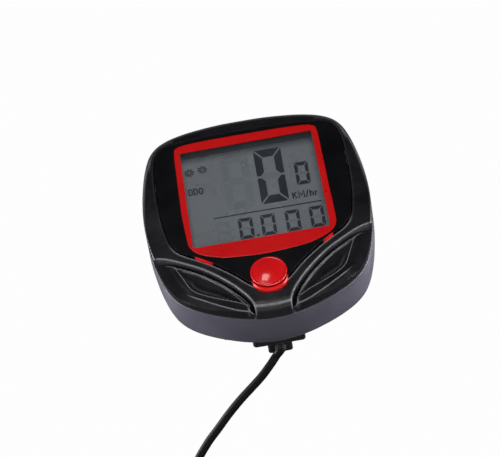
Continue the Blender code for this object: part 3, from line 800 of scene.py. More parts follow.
def build_screen():
    ring_plate("screen_mask_body", shift(window, 0.16), shift(opening, -0.12), (0.3,), (0.15,),
               level(MASK_TOP), LCD_TOP + 0.12, PRINT, spacing=2.0, replaces="screen_mask")
    ring_plate("screen_well_wall", shift(opening, -0.1), shift(opening, 0.02), (), (),
               level(MASK_TOP - 0.16), LCD_TOP + 0.02, WELL, spacing=3.0)
    ring_plate("red_frame_print", red_frame, shift(opening, 0.06), (0.12, 0.3), (0.12, 0.3),
               red_frame_top, MASK_TOP - 0.15, RED, spacing=1.2, replaces="red_screen_frame")
    plate("display_window_lens", lambda points: inside(points, window),
          [(window, True, (0.05, 0.11, 0.18, 0.24, 0.28, 0.34, 0.6))], lens_top,
          level(MASK_TOP + 0.06), CLEAR, replaces="display_window", spacing=1.6, sharp=60)


# ---------- painted red refraction at the window's edge, and the badge ---
def edge_strip(name, path, width, height):
    """A strip on the right-hand side of a path, narrowed at its ends."""
    count = len(path)
    fullness = np.sin(np.linspace(0, math.pi, count)) ** 0.45
    far, near = shift(path, -width, closed=False), shift(path, 0.03, closed=False)
    z0, z1 = COVER_TOP - 0.12, COVER_TOP + height
    rings = []
    for i in range(count):
        edge = near[i] + (far[i] - near[i]) * max(0.12, fullness[i])
        rings.append([(*near[i], z0), (*edge, z0), (*edge, z0 + (z1 - z0) * 0.7),
                      (*(near[i] + (edge - near[i]) * 0.55), z1), (*near[i], z1)])
    mesh_object(name, loft(rings), RED)


def build_painted_red_refraction():
    # Red strips on the clear window's side wall, beside the red frame and below the badge: painted
    # refraction, the red print and badge seen through the clear edge.
    for side, name, low, high in ((1, "right", 12.2, 14.6), (-1, "left", 10.4, 14.2)):
        part = np.array([p for p in window if low < side * p[0] < high and p[1] < -7])
        edge_strip(f"painted_red_tab_{name}", part, width=0.25, height=0.72)
    (x, y), radius = BADGE_CENTRE, BADGE_R + 0.06
    lip = [(x + radius * math.cos(angle), y + radius * math.sin(angle))
           for angle in np.linspace(math.radians(197), math.radians(343), 48)]
    edge_strip("painted_red_lip", np.array(lip), width=0.66, height=0.82)


def build_badge():
    dome_r, dome_z, dome_rise = BADGE_R - 0.46, 31.69, 0.5
    profile = [(0, 31.42), (BADGE_R, 31.42), (BADGE_R, 31.62), (BADGE_R - 0.07, 31.7),
               (BADGE_R - 0.2, 31.74), (BADGE_R - 0.36, 31.71), (dome_r, dome_z)]
    profile += [(radius, dome_z + dome_rise * (1 - (radius / dome_r) ** 2))
                for radius in np.linspace(BADGE_R - 0.6, 0.25, 14)]
    profile.append((0, dome_z + dome_rise))
    mesh_object("red_badge_dome", turned(profile, 96, *BADGE_CENTRE), BADGE,
                replaces="red_badge", sharp=50)


# ---------- buttons ----------
HOLLOW_WALL = 0.18   # the steepest run of the hollow's side


def front_bevel(x):
    """Width of the bevel along a button's outer edge, which widens outwards from the chin."""
    return 0.14 + 1.15 * ease(4.5, 15.0, x)


def crease_line(side, line, region):
    """Where a button's flat top turns down into the front bevel."""
    crease = []
    for point, inward in zip(outline, shift(outline, 1.0) - outline):
        if 3.5 < side * point[0] < 18.6 and point[1] < -12:
            width = front_bevel(abs(point[0]))
            for _ in range(4):
                width = front_bevel(abs(point[0] + width * inward[0]))
            crease.append(point + width * inward)
    crease = np.array(crease)
    return crease[inside(crease, region) & (distance_to(crease, line, False) > 0.12)]


def build_button(side, name):
    if side > 0:
        line, region, hollow = button_gap, button_corner, leaf
    else:
        line, region, hollow = flip(button_gap), flip(button_corner), flip(leaf)
        # this side's hollow runs further in
        hollow = hollow + ease(-17, -22, hollow[:, 1])[:, None] * np.array([0.8, -0.45])
    crease = crease_line(side, line, region)

    def measures(points):
        """Distances from the outline, the gap and the hollow's edge, then x outwards."""
        return (distance_to(points, outline), distance_to(points, line, False),
                distance_to(points, hollow), np.abs(points[:, 0]))

    def hollow_run(to_gap):
        """The hollow's side is a steep wall beside the gap and a slope on the outer side."""
        return HOLLOW_WALL + 0.85 * ease(1.0, 3.2, to_gap)

    def top(points):
        edge, to_gap, to_hollow, x = measures(points)
        soft = ease(15.0, 19.5, x)    # the front edge is crisp, the outer end well rounded
        drop = 0.13 + 0.85 * ease(4.5, 15.0, x)
        z = (BUTTON_TOP - drop * np.clip(1 - edge / front_bevel(x), 0, 1) * (1 - soft)
             - 1.0 * np.clip(1 - edge / 2.6, 0, 1) ** 1.55 * soft)
        z -= fall(edge, 0.12, 0.08) * (1 - soft)
        z -= 0.85 * np.clip(1 - to_gap / 0.66, 0, 1)     # a steep flank beside the gap
        within, run = inside(points, hollow), hollow_run(to_gap)
        depth = 0.55 * np.clip(to_hollow / run, 0, 1) + 0.10 * ease(run, run + 2.2, to_hollow)
        z -= np.where(within, depth, 0.0)
        # a narrow raised rim round the hollow
        z += np.where(within, 0.07 * np.clip(1 - to_hollow / 0.08, 0, 1),
                      0.07 * np.clip(1 - to_hollow / 0.2, 0, 1))
        return z

    # Painted highlight: lighter lines along the flank by the gap, the front crease and the
    # hollow's rim, and a faint one at the hollow's floor.
    def painted_highlight(points):
        edge, to_gap, to_hollow, x = measures(points)
        flank = 0.75 * line_at(to_gap, 0.70, 0.17) * ease(20.8, 19.0, x)
        front = (0.75 * line_at(edge, front_bevel(x), 0.17) * ease(17.4, 15.0, x)
                 * ease(0.3, 0.6, to_gap))
        rim = 0.6 * line_at(to_hollow, 0.0, 0.16)
        floor_edge = (inside(points, hollow) * line_at(to_hollow, hollow_run(to_gap), 0.3)
                      * ease(1.4, 3.2, to_gap))
        return np.maximum.reduce([flank, front, rim, 0.16 * floor_edge])

    curves = [(outline, True, (0.05, 0.12, 0.2, 0.32, 0.6, 0.9, 1.15, 1.3, 1.6, 2.1)),
              (line, False, (0.12, 0.3, 0.48, 0.58, 0.66, 0.74, 0.82, 0.92, 1.1)),
              (crease, False, (0.06, 0.12, 0.2)),
              (hollow, True, (0.08, 0.16, 0.22, 0.32, 0.5, 0.75, 1.0, 1.12))]
    plate(f"button_{name}_cap", lambda points: inside(points, outline) & inside(points, region),
          curves, top, level(BUTTON_BOTTOM), BUTTON, "button_" + name, "button_" + name,
          spacing=0.45, painted_highlight=painted_highlight)


# ---------- liquid-crystal cell and what it shows ----------
# digit sizes: width, height, width of the upright segments, width of the level ones
LARGE, UPPER, LOWER = (5.75, 14.5, 1.6, 2.05), (2.9, 6.05, 0.72, 0.95), (3.0, 5.5, 0.68, 0.85)
# lower left corners of the digits that show a zero
LARGE_AT, UPPER_AT = (1.2, 3.1), (9.1, 6.6)
LOWER_AT = [(x, -5.2) for x in (-4.3, 0.35, 5.45, 10.5)]
ZERO, ALL = "abcdef", "abcdefg"

LETTERS = {   # strokes in a box one wide and one high, each with whether it closes on itself
    "O": [([(0.2, 0), (0.8, 0), (1, 0.2), (1, 0.8), (0.8, 1), (0.2, 1), (0, 0.8), (0, 0.2)],
           True)],
    "D": [([(0, 0), (0.62, 0), (1, 0.28), (1, 0.72), (0.62, 1), (0, 1)], True)],
    "K": [([(0, 0), (0, 1)], False), ([(0.95, 1), (0.08, 0.46)], False),
          ([(0.34, 0.6), (1, 0)], False)],
    "M": [([(0, 0), (0, 1), (0.5, 0.36), (1, 1), (1, 0)], False)],
    "/": [([(0, 0), (1, 1)], False)],
    "h": [([(0, 0), (0, 1)], False),
          ([(0, 0.48), (0.45, 0.66), (0.9, 0.56), (1, 0.36), (1, 0)], False)],
    "r": [([(0, 0), (0, 0.66)], False), ([(0, 0.4), (0.4, 0.62), (1, 0.64)], False)]}


def digit(x0, y0, size, segments):
    """Outlines of the named segments, lettered clockwise from the top with g in the middle."""
    width, height, up, flat = size
    gap_ = 0.045 * width
    middle, x1, y1 = y0 + height / 2, x0 + width, y0 + height
    left, right = x0 + up, x1 - up       # inner sides of the uprights
    half_up, half_flat, bar = up * 0.5, flat * 0.5, flat * 0.42
    shapes = {
        "a": [(x0 + gap_, y1), (left + gap_, y1 - flat), (right - gap_, y1 - flat),
              (x1 - gap_, y1)],
        "d": [(x0 + gap_, y0), (x1 - gap_, y0), (right - gap_, y0 + flat),
              (left + gap_, y0 + flat)],
        "f": [(x0, y1 - gap_), (x0, middle + gap_ * 1.2), (x0 + half_up, middle + gap_),
              (left, middle + half_flat + gap_), (left, y1 - flat - gap_)],
        "b": [(x1, y1 - gap_), (right, y1 - flat - gap_), (right, middle + half_flat + gap_),
              (x1 - half_up, middle + gap_), (x1, middle + gap_ * 1.2)],
        "e": [(x0, y0 + gap_), (left, y0 + flat + gap_), (left, middle - half_flat - gap_),
              (x0 + half_up, middle - gap_), (x0, middle - gap_ * 1.2)],
        "c": [(x1, y0 + gap_), (x1, middle - gap_ * 1.2), (x1 - half_up, middle - gap_),
              (right, middle - half_flat - gap_), (right, y0 + flat + gap_)],
        "g": [(x0 + up * 0.6, middle), (left, middle - bar), (right, middle - bar),
              (x1 - up * 0.6, middle), (right, middle + bar), (left, middle + bar)]}
    return [anticlockwise(np.array(shapes[segment], float)) for segment in segments]


def ray_ring(x, y):
    """Eight short rays round a point, widening outwards."""
    rays = []
    for k in range(8):
        angle = k * math.pi / 4 + 0.15
        dx, dy = math.cos(angle), math.sin(angle)
        corners = ((0.3, 0.1), (1.0, 0.22), (1.0, -0.22), (0.3, -0.1))   # out, across
        rays.append(np.array([(x + dx * out + dy * across, y + dy * out - dx * across)
                              for out, across in corners]))
    return rays


def glyphs(name, loops, material, thickness=0.03):
    z = LCD_TOP + 0.005
    mesh_object(name, merge(prism(loop, z, z + thickness) for loop in loops), material)


def lettering(name, letters, y, height, stroke):
    """letters: (letter, left edge, width) along one line."""
    z0, z1 = LCD_TOP + 0.004, LCD_TOP + 0.034
    shapes = []
    for letter, x, width in letters:
        for points, closed in LETTERS[letter]:
            path = np.array(points, float) * (width - stroke, height - stroke)
            path = path + (x + stroke / 2, y + stroke / 2)
            one, other = shift(path, stroke / 2, closed), shift(path, -stroke / 2, closed)
            rings = [[(*a, z0), (*b, z0), (*b, z1), (*a, z1)] for a, b in zip(one, other)]
            shapes.append(loft(rings, closed))
    mesh_object(name, merge(shapes), INK)


def build_lcd():
    levels = [(0, LCD_BOTTOM), (0, LCD_TOP - 0.1), (0.1, LCD_TOP)]
    mesh_object("lcd_cell_front", stack(rounded(-15.2, -9.0, 15.2, 19.5, 0.3, 3), levels), LCD,
                replaces="lcd_glass")
    glyphs("lcd_large_digit", digit(*LARGE_AT, LARGE, ZERO), INK)
    small = digit(*UPPER_AT, UPPER, ZERO)
    for x, y in LOWER_AT:
        small += digit(x, y, LOWER, ZERO)
    small += [circle(0.3, 16, -0.6, -4.75), rect(-9.2, 1.38, 13.45, 1.66)]   # point and rule
    small += ray_ring(-12.6, 14.7) + ray_ring(-9.8, 15.0)
    glyphs("lcd_small_digits", small, INK)
    # segments that are off, faintly seen
    ghost = digit(-5.9, 3.1, LARGE, ALL) + digit(*LARGE_AT, LARGE, "g")
    ghost += digit(*UPPER_AT, UPPER, "g") + digit(-9.0, -5.2, LOWER, ALL)
    for x, y in LOWER_AT:
        ghost += digit(x, y, LOWER, "g")
    glyphs("lcd_ghost_segments", ghost, GHOST, thickness=0.015)
    lettering("lcd_trip_label", [("O", -13.45, 0.95), ("D", -12.35, 0.95), ("O", -11.25, 0.95)],
              y=8.55, height=1.75, stroke=0.27)
    lettering("lcd_unit_label", [("K", 7.7, 1.1), ("M", 8.95, 1.35), ("/", 10.4, 0.8),
                                 ("h", 11.3, 0.85), ("r", 12.35, 0.7)],
              y=3.0, height=2.05, stroke=0.27)


# ---------- rear case ----------
# inset, z: from the rear face up the outside, over the rim and down the inside
CASE_LEVELS = [
    (2.0, REAR_Z), (1.6, 18.05), (1.2, 18.17), (0.88, 18.36), (0.6, 18.66), (0.4, 19.05),
    (0.24, 19.6), (0.1, 20.4), (0.02, 21.4), (0.0, 22.2), (0.0, CASE_TOP - 0.12),
    (0.12, CASE_TOP), (1.48, CASE_TOP), (1.6, CASE_TOP - 0.12), (1.6, 19.8), (1.8, 19.6)]


def build_rear_case():
    # thickening behind the dock and round the battery, then screw bosses
    steps = [(JOIN, prism(rect(-8.6, -5.3, 8.6, 13.6), 18.6, 22.2)),
             (JOIN, prism(circle(9.4, 64, 0, DOOR_Y), 18.6, 22.0)),
             (JOIN, prism(circle(7.8, 64, 0, DOOR_Y), 18.6, 23.3))]
    steps += [(JOIN, prism(circle(2.6, 24, x, y), 19.0, 25.0)) for x, y in SCREWS]
    # the dock's recess and its run up the case, then the door's seat and the battery's bore
    steps += [(CUT, prism(rounded(-6.1, -4.8, 6.1, 4.2, 0.6, 3), 17, 21.0)),
              (CUT, prism(rect(-6.1, 4.0, 6.1, 12.5), 19.0, 21.0)),
              (CUT, prism(rounded(-4.6, 0.0, 4.6, 12.5, 0.8, 4), 17, 19.4)),
              (CUT, prism(circle(DOOR_R + 0.2, 96, 0, DOOR_Y), 17, 20.2)),
              (CUT, prism(circle(6.5, 64, 0, DOOR_Y), 20.0, 25))]
    for x, y in SCREWS:
        steps += [(CUT, prism(circle(2.1, 32, x, y), 17, 19.6)),
                  (CUT, prism(circle(1.15, 20, x, y), 19, 28))]
    for side in (-1, 1):
        steps.append((CUT, prism(circle(1.45, 24, CONTACT_X * side, CONTACT_Y), 20.5, 23)))
        for k in range(5):      # shallow grooves either side of the dock
            x, y = side * 13.0, -1.2 + 2.2 * k
            groove = rounded(x - 2.6, y - 0.35, x + 2.6, y + 0.35, 0.34, 3)
            steps.append((CUT, prism(groove, 17, 18.3)))
    carve("rear_case_shell", stack(mirrored(HEAD_HALF, 260), CASE_LEVELS), steps, GREY, "head",
          "rear_case", bevel=0.12)


# ---------- battery door, seal, screws, contacts ----------
def build_door():
    profile = [(0, REAR_Z + 0.08), (DOOR_R - 0.5, REAR_Z + 0.08), (DOOR_R - 0.2, REAR_Z + 0.14),
               (DOOR_R - 0.04, REAR_Z + 0.32), (DOOR_R, REAR_Z + 0.55), (DOOR_R, 19.25),
               (DOOR_R - 1.4, 19.25), (DOOR_R - 1.4, 20.15), (0, 20.15)]
    # a slot across the middle, and small notches round the edge except at the slot's ends
    slot = rounded(-6.0, DOOR_Y - 0.75, 6.0, DOOR_Y + 0.75, 0.7, 5)
    steps = [(CUT, prism(slot, 17, 18.75))]
    for angle in turn_angles(28):
        if abs(math.sin(angle)) > 0.28:
            x, y = 7.35 * math.cos(angle), DOOR_Y + 7.35 * math.sin(angle)
            steps.append((CUT, prism(circle(0.26, 8, x, y), 17, 18.32)))
    carve("battery_door_cap", turned(profile, 96, 0, DOOR_Y), steps, GREY, "battery_door",
          "battery_door", bevel=0.08)


def build_door_seal():
    ring_r, cord_r, z = 7.25, 0.38, 19.72
    section = [(ring_r + cord_r * math.cos(angle), z + cord_r * math.sin(angle))
               for angle in turn_angles(14)]
    rings = [[(radius * math.cos(angle), DOOR_Y + radius * math.sin(angle), height)
              for radius, height in section] for angle in turn_angles(96)]
    mesh_object("door_seal_ring", loft(rings, closed=True), RUBBER, "battery_door",
                "door_o_ring")


def build_screws():
    for i, (x, y) in enumerate(SCREWS):
        tip = 27.1 if y < 0 else 28.3
        profile = [(0, 18.34), (1.15, 18.3), (1.6, 18.38), (1.85, 18.55), (1.9, 18.8),
                   (1.9, 19.15), (0.95, 19.5), (0.95, tip - 0.2), (0, tip)]
        steps = []
        for angle in (0.35 + 0.9 * i, 0.35 + 0.9 * i + math.pi / 2):    # a cross recess
            cosine, sine = math.cos(angle), math.sin(angle)
            slot = [(x + cosine * u - sine * v, y + sine * u + cosine * v)
                    for u, v in rect(-1.1, -0.2, 1.1, 0.2)]
            steps.append((CUT, prism(slot, 17.5, 18.9)))
        carve(f"case_screw_{i + 1}_head", turned(profile, 36, x, y), steps, STEEL, "head",
              f"case_screw_{i + 1}", bevel=0.04)


def build_contacts():
    pad = [(0, 20.92), (0.75, 20.92), (0.95, 20.98), (1.28, 20.98), (1.3, 21.02), (1.3, 22.6),
           (0, 22.6)]
    pin = [(0, 18.4), (0.8, 18.4), (0.8, 20.42), (0.74, 20.56), (0.6, 20.7), (0.42, 20.79),
           (0.2, 20.83), (0, 20.835)]
    for side, name in SIDES:
        mesh_object(f"dock_contact_{name}_pad", turned(pad, 40, CONTACT_X * side, CONTACT_Y),
                    GOLD, replaces=f"dock_contact_{name}")
        mesh_object(f"contact_pin_{name}_tip", turned(pin, 32, CONTACT_X * side, PIN_Y), GOLD,
                    "pin_" + name, f"contact_pin_{name}", at="bracket")


# ---------- bracket ----------
PIN_Y = -0.8     # the dock contacts' place in the bracket's frame: CONTACT_Y + HEAD_Y


def build_bracket():
    bore = loft([[(x, 14.2 * math.cos(angle), 14.2 * math.sin(angle))
                  for angle in turn_angles(144, offset=0.5)] for x in (-16, 16)])
    lead_hole = loft([[(1.25 * math.sin(angle), y, LEAD_Z + 1.25 * math.cos(angle))
                       for angle in turn_angles(28)] for y in (-32.5, -25.0)])
    steps = [
        # raised middle and side walls
        (JOIN, prism(rounded(-8, -12, 8, 12, 0.8, 4), 15.0, 17.4)),
        (JOIN, prism(rect(-13, -12, -11.9, 12), 15.0, 17.2)),
        (JOIN, prism(rect(11.9, -12, 13, 12), 15.0, 17.2)),
        # neck and wider head of the dock
        (JOIN, prism(rect(-4.3, -4.6, 4.3, 3.1), 17.0, 19.4)),
        (JOIN, prism(rounded(-5.8, -4.6, 5.8, 3.1, 0.5, 3), 19.2, 20.6)),
        # arm towards the front and the boss that holds the lead
        (JOIN, prism(rect(-5.2, -28.6, 5.2, -11.0), 12.4, 14.6)),
        (JOIN, prism(rounded(-2.55, -31.2, 2.55, -24.0, 0.6, 4), 11.4, 14.9)),
        (CUT, bore), (CUT, lead_hole)]
    for side in (-1, 1):
        steps.append((CUT, prism(circle(0.95, 24, CONTACT_X * side, PIN_Y), 17.6, 22)))
        for k in range(3):      # a row of shallow slots
            x, y = side * 6.6, 6.2 * k
            slot = rounded(x - 0.45, -9.0 + y, x + 0.45, -5.0 + y, 0.4, 3)
            steps.append((CUT, prism(slot, 16.9, 18)))
    carve("bracket_body", prism(rounded(-13, -12, 13, 12, 1.0, 4), 10.8, 15.4), steps, PLAIN,
          "mount", "bracket", bevel=0.22, at="bracket", segments=3)


def build_saddle_pad():
    """An arc of rubber on the bar, with grooves across the face against it."""
    half, count = math.radians(48), 73
    start, end = math.pi / 2 - half, math.pi / 2 + half
    profile = [(radius * math.cos(angle), radius * math.sin(angle))
               for radius, first, last in ((BAR_R + 0.02, start, end), (BAR_R + 1.2, end, start))
               for angle in np.linspace(first, last, count)]
    # x, and 1 at the bottom of a groove
    stations = [(-12.2, 0)]
    stations += [(-11.4 + 2.25 * k + offset, grooved) for k in range(11)
                 for offset, grooved in ((-0.5, 0), (-0.28, 1), (0.28, 1), (0.5, 0))]
    stations.append((12.2, 0))
    rings = []
    for x, grooved in stations:
        scales = [1 + 0.012 * grooved * (i < count) for i in range(len(profile))]
        rings.append([(x, y * scale, z * scale) for (y, z), scale in zip(profile, scales)])
    mesh_object("saddle_pad_rubber", loft(rings), RUBBER, "mount", "saddle_pad", at="bracket")


def build_latch():
    """A flat tongue reaching forwards, with grooves under its front end and two on top."""
    steps = []
    for k in range(4):
        y = -31.6 + 1.5 * k
        steps.append((CUT, prism(rounded(-4.2, y, 4.2, y + 0.62, 0.28, 3), 15.8, 16.42)))
    for side in (-1, 1):
        x = side * 3.6
        steps.append((CUT, prism(rounded(x - 0.35, -22.5, x + 0.35, -14.0, 0.3, 3), 17.2, 18)))
    tongue = prism(rounded(-5.45, -32.8, 5.45, -12.4, 0.7, 5), 16.1, 17.6)
    carve("release_latch_tongue", tongue, steps, PLAIN, "latch", "release_latch", bevel=0.2,
          at="bracket", segments=3)


# ---------- cable ties ----------
TIE_X = 10.0
TIE_R = BAR_R + 0.04 + 0.42      # the bar, a clearance and half the strap's thickness
TIE_TOP = 16.3                   # the strap's middle where it crosses the bracket
TIE_BEND = 1.6
# across the strap, through it; shallow channel on one face
TIE_SECTION = [
    (-1.4, -0.28), (-1.2, -0.42), (-0.8, -0.42), (-0.75, -0.32), (0.75, -0.32), (0.8, -0.42),
    (1.2, -0.42), (1.4, -0.28), (1.4, 0.28), (1.2, 0.42), (-1.2, 0.42), (-1.4, 0.28)]


def tie_path():
    """y, z round the bar below and squarely over the bracket above."""
    path = [(TIE_R * math.cos(angle), TIE_R * math.sin(angle))
            for angle in [-math.pi * i / 90 for i in range(91)]]
    bend = [math.pi / 2 * i / 10 for i in range(11)]
    path += [(-TIE_R, z) for z in np.linspace(0.5, TIE_TOP - 1.9, 14)]
    path += [(-TIE_R + TIE_BEND - TIE_BEND * math.cos(angle),
              TIE_TOP - TIE_BEND + TIE_BEND * math.sin(angle)) for angle in bend]
    path += [(y, TIE_TOP) for y in np.linspace(-TIE_R + 2.2, TIE_R - 2.2, 22)]
    path += [(TIE_R - TIE_BEND + TIE_BEND * math.sin(angle),
              TIE_TOP - TIE_BEND + TIE_BEND * math.cos(angle)) for angle in bend]
    return path + [(TIE_R, z) for z in np.linspace(TIE_TOP - 1.9, 0.5, 14)]


def build_cable_ties():
    for side, name in SIDES:
        x = TIE_X * side
        strap = sweep([(x, y, z) for y, z in tie_path()], TIE_SECTION, closed=True)
        pocket = rect(x - 1.1, 15.6, x + 1.1, 16.3)
        # the lock block with a pocket in each end, and the stub of the tail
        steps = [(JOIN, prism(rounded(x - 2.3, 12.95, x + 2.3, 16.9, 0.7, 4), 2.2, 6.6)),
                 (CUT, prism(pocket, 5.6, 7)),
                 (JOIN, prism(rect(x - 1.3, 14.4, x + 1.3, 15.3), 6.2, 9.6)),
                 (CUT, prism(pocket, 1.8, 3.2))]
        carve(f"cable_tie_{name}_strap", strap, steps, TIE, "mount", f"cable_tie_{name}",
              bevel=0.1, at="bracket")


# ---------- lead ----------
# x, y, z in the bracket's frame
LEAD_START = [(0, -26.0, LEAD_Z), (0, -28.0, LEAD_Z), (0, -30.0, LEAD_Z), (0, -31.9, 13.05)]
# x, up and forwards from the bar's axis, with the last two axes tipped by LEAD_TIP about x
LEAD_TIP = math.radians(16)
LEAD_RUN = [
    (-1.0, -17.6, 29.4), (-2.6, -19.3, 29.2), (-4.75, -21.4, 28.4), (-7.1, -23.3, 27.3),
    (-10.0, -25.6, 25.8), (-12.9, -28.2, 24.0), (-15.6, -30.9, 22.0), (-18.3, -33.6, 20.0),
    (-21.6, -37.8, 17.2), (-24.4, -43.2, 14.6)]


def build_lead():
    """A sheath of twin-core section, from the bracket's boss down into the sensor."""
    tilt = Matrix.Rotation(TILT, 3, "X")
    path = [tuple(tilt @ Vector(point)) for point in LEAD_START]
    cosine, sine = math.cos(LEAD_TIP), math.sin(LEAD_TIP)
    path += [(x, up * sine - ahead * cosine, up * cosine + ahead * sine)
             for x, up, ahead in LEAD_RUN]
    path += [(SENSOR[0], SENSOR[1], SENSOR[2] + rise) for rise in (5.5, 1, -4.5)]
    section = []
    for angle in turn_angles(28):
        radius = 0.60 + 0.27 * abs(math.cos(angle)) ** 1.3
        section.append((radius * math.cos(angle), radius * math.sin(angle) * 0.98))
    path = spline(path, 260, closed=False)
    mesh_object("signal_cable_sheath", sweep(path, section, up=(1, 0.1, 0.2)), SHEATH, "mount",
                "signal_cable", at="world")


def build_grommet():
    """A ringed collar round the lead at the front of the boss."""
    # distance forwards, radius
    profile = [(-0.1, 1.2), (0.0, 1.24), (0.25, 1.24), (0.32, 1.05), (0.5, 1.05), (0.57, 1.2),
               (0.8, 1.2), (0.86, 1.0), (1.05, 0.97)]
    rings = [[(radius * math.sin(angle), -31.15 - ahead, LEAD_Z + radius * math.cos(angle))
              for angle in turn_angles(36)] for ahead, radius in profile]
    mesh_object("lead_grommet", loft(rings), RUBBER, "mount", at="bracket")


# ---------- fork sensor: its z runs down from SENSOR ----------
# half width, depth to the front, z
POD_LEVELS = [
    (3.2, 2.2, -29.0), (4.6, 3.3, -28.8), (5.6, 4.1, -28.2), (6.1, 4.45, -27.2),
    (6.3, 4.6, -25.5), (6.3, 4.6, -7.0), (6.2, 4.5, -5.0), (5.7, 4.2, -3.4), (4.8, 3.7, -2.0),
    (3.8, 3.0, -0.8), (2.9, 2.3, -0.2), (2.2, 1.8, 0.0)]


def at_sensor(shape):
    return np.asarray(shape[0]) + np.array(SENSOR), shape[1]


def sensor_cut(loop, z0, z1):
    return CUT, at_sensor(prism(loop, z0, z1))


def pod_ring(half_width, front, z):
    """A squarish oval, cut shallower at the back near the pod's ends."""
    back = 4.0 if -27.5 < z < -3 else 3.4
    ring = []
    for angle in turn_angles(72):
        cosine, sine = math.cos(angle), math.sin(angle)
        x = half_width * math.copysign(abs(cosine) ** 0.5, cosine)
        y = math.copysign(abs(sine) ** 0.5, sine)
        ring.append((x, y * (front if y < 0 else back), z))
    return ring


def build_sensor():
    # hollow from the back, a hole for the lead and two channels across the front
    steps = [sensor_cut(rect(-4.9, -2.9, 4.9, 5.5), -27.3, -4.4),
             sensor_cut(circle(1.1, 24), -5.0, 2)]
    steps += [sensor_cut(rect(-8, -6, 8, -4.0), z - 1.9, z + 1.9) for z in (-8.5, -23.5)]
    pod = loft([pod_ring(*entry) for entry in POD_LEVELS])
    carve("sensor_pod", at_sensor(pod), steps, PLAIN, "mount", "sensor_housing", bevel=0.15,
          at="world")
    lid = prism(rect(-4.7, 2.6, 4.7, 4.0), -27.1, -4.6)
    carve("sensor_back_lid", at_sensor(lid), [], PLAIN, "mount", "sensor_lid", bevel=0.15,
          at="world")
    # a pad behind, grooved across its back
    steps = [sensor_cut(rect(-7, 5.22, 7, 6.2), z, z + 0.9)
             for z in [-26.9 + 2.7 * k for k in range(9)]]
    pad = prism(rect(-5.8, 4.05, 5.8, 5.5), -28.2, -3.4)
    carve("sensor_foot_pad", at_sensor(pad), steps, RUBBER, "mount", "sensor_pad", bevel=0.12,
          at="world")


def finish_frame_pieces():
    for name, material in FRAME_FINISHES.items():
        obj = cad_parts[name]
        if not len(obj.material_slots):
            obj.data.materials.append(material)
        else:
            for slot in obj.material_slots:
                slot.material = material


# ---------- stage ----------
BACKDROP = (0.985, 0.985, 0.99, 1)      # what the camera sees of the floor and the world


def build_floor():
    """A floor that is even and bright to the camera and mid grey to everything else."""
    half, z = 6, cad_box[0][2] - 0.0002     # metres
    mesh = bpy.data.meshes.new("floor")
    corners = [(-half, -half, z), (half, -half, z), (half, half, z), (-half, half, z)]
    mesh.from_pydata(corners, [], [(0, 1, 2, 3)])
    floor = add_object("floor", mesh)
    material, tree = node_material("pale_floor")
    shader = tree.nodes["Principled BSDF"]
    shader.inputs["Base Color"].default_value = (0.16, 0.16, 0.165, 1)
    shader.inputs["Roughness"].default_value = 0.9
    shader.inputs["Specular IOR Level"].default_value = 0.1
    glow = add_node(tree, "ShaderNodeEmission", Color=BACKDROP)
    seen = add_node(tree, "ShaderNodeLightPath").outputs["Is Camera Ray"]
    mix = add_node(tree, "ShaderNodeMixShader", Fac=seen)
    feed(mix.inputs[1], shader.outputs["BSDF"])
    feed(mix.inputs[2], glow.outputs["Emission"])
    feed(tree.nodes["Material Output"].inputs["Surface"], mix.outputs["Shader"])
    floor.data.materials.append(material)


def build_world():
    """Light that is bright at the horizon and dark overhead."""
    world = bpy.data.worlds.new("studio")
    bpy.context.scene.world = world
    world.use_nodes = True
    tree = world.node_tree
    split = add_node(tree, "ShaderNodeSeparateXYZ")
    feed(split.inputs[0], add_node(tree, "ShaderNodeTexCoord").outputs["Generated"])
    ramp = add_node(tree, "ShaderNodeValToRGB", Fac=split.outputs["Z"])
    stops = ramp.color_ramp.elements
    stops[0].position, stops[0].color = 0.0, (0.62, 0.62, 0.64, 1)
    stops[1].position, stops[1].color = 0.97, (0.022, 0.022, 0.025, 1)
    for position, grey in ((0.18, 0.5), (0.45, 0.14), (0.75, 0.045)):
        stops.new(position).color = (grey, grey, grey * 1.04, 1)
    seen = add_node(tree, "ShaderNodeLightPath").outputs["Is Camera Ray"]
    background = tree.nodes["Background"]
    feed(background.inputs["Color"], mix_colour(tree, seen, ramp.outputs["Color"], BACKDROP))
    background.inputs["Strength"].default_value = 1.0


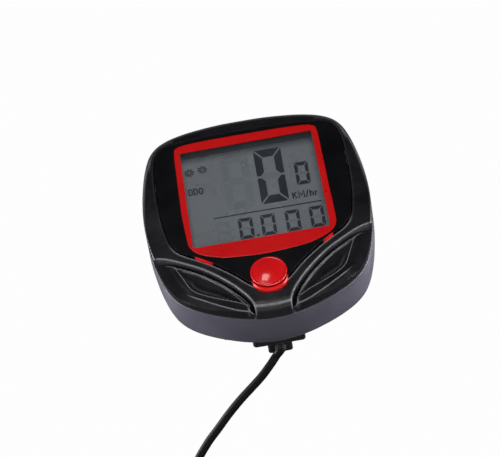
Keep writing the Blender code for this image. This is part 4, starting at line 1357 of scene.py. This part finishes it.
def softbox(name, at, size, power, to=(0, -18, 14)):
    """A rectangular light at one point, aimed at another; power in watts."""
    light = bpy.data.lights.new(name, "AREA")
    light.shape = "RECTANGLE"
    light.size, light.size_y = size[0] / 1000, size[1] / 1000
    light.energy = power
    obj = bpy.data.objects.new(name, light)
    start, target = Vector(place([at], "world")[0]), Vector(place([to], "world")[0])
    obj.location = start
    obj.rotation_euler = (target - start).to_track_quat("-Z", "Y").to_euler()
    bpy.context.scene.collection.objects.link(obj)


def build_lights():
    softbox("key_front", at=(60, -430, 400), size=(520, 80), power=1.9)
    softbox("badge_glint", at=(-80, -190, 590), size=(130, 150), power=0.30)
    softbox("front_low", at=(0, -620, 40), size=(420, 90), power=0.1)
    softbox("side_left", at=(-560, 20, 15), size=(700, 190), power=5.4, to=(0, -8, 10))
    softbox("side_right", at=(560, 0, 15), size=(700, 190), power=5.6, to=(0, -8, 10))


# ---------- camera ----------
ELEVATION, ROLL = math.radians(16), math.radians(9.7)
LENS, SENSOR_WIDTH = 290.0, 36
VIEW_SPAN = 102.669405                   # what the sensor's width takes in at the screen
VIEW_LEFT, VIEW_DOWN = 1.396304, 4.106776   # the camera's place off the screen's centre


def build_camera():
    level_up = Vector((0, math.sin(ELEVATION), math.cos(ELEVATION)))
    back = Vector((0, -math.cos(ELEVATION), math.sin(ELEVATION)))
    level_right = Vector((1, 0, 0))
    right = level_right * math.cos(ROLL) - level_up * math.sin(ROLL)
    up = level_right * math.sin(ROLL) + level_up * math.cos(ROLL)
    centre = Vector(place([(0, 0, PANEL_TOP)], "head")[0]) * 1000
    distance = LENS / SENSOR_WIDTH * VIEW_SPAN
    position = centre - right * VIEW_LEFT - up * VIEW_DOWN + back * distance
    data = bpy.data.cameras.new("camera")
    data.lens, data.sensor_width, data.clip_start, data.clip_end = LENS, SENSOR_WIDTH, 0.01, 50
    camera = add_object("camera", data)
    rows = [[right[i], up[i], back[i], position[i] / 1000] for i in range(3)]
    camera.matrix_world = Matrix(rows + [[0, 0, 0, 1]])
    bpy.context.scene.camera = camera


build_cover()
build_screen()
build_painted_red_refraction()
build_badge()
build_button(1, "right")
build_button(-1, "left")
build_lcd()
build_rear_case()
build_door()
build_door_seal()
build_screws()
build_contacts()
build_bracket()
build_saddle_pad()
build_latch()
build_cable_ties()
build_lead()
build_grommet()
build_sensor()
finish_frame_pieces()
build_floor()
build_world()
build_lights()
build_camera()
bpy.context.scene.view_settings.view_transform = "Standard"
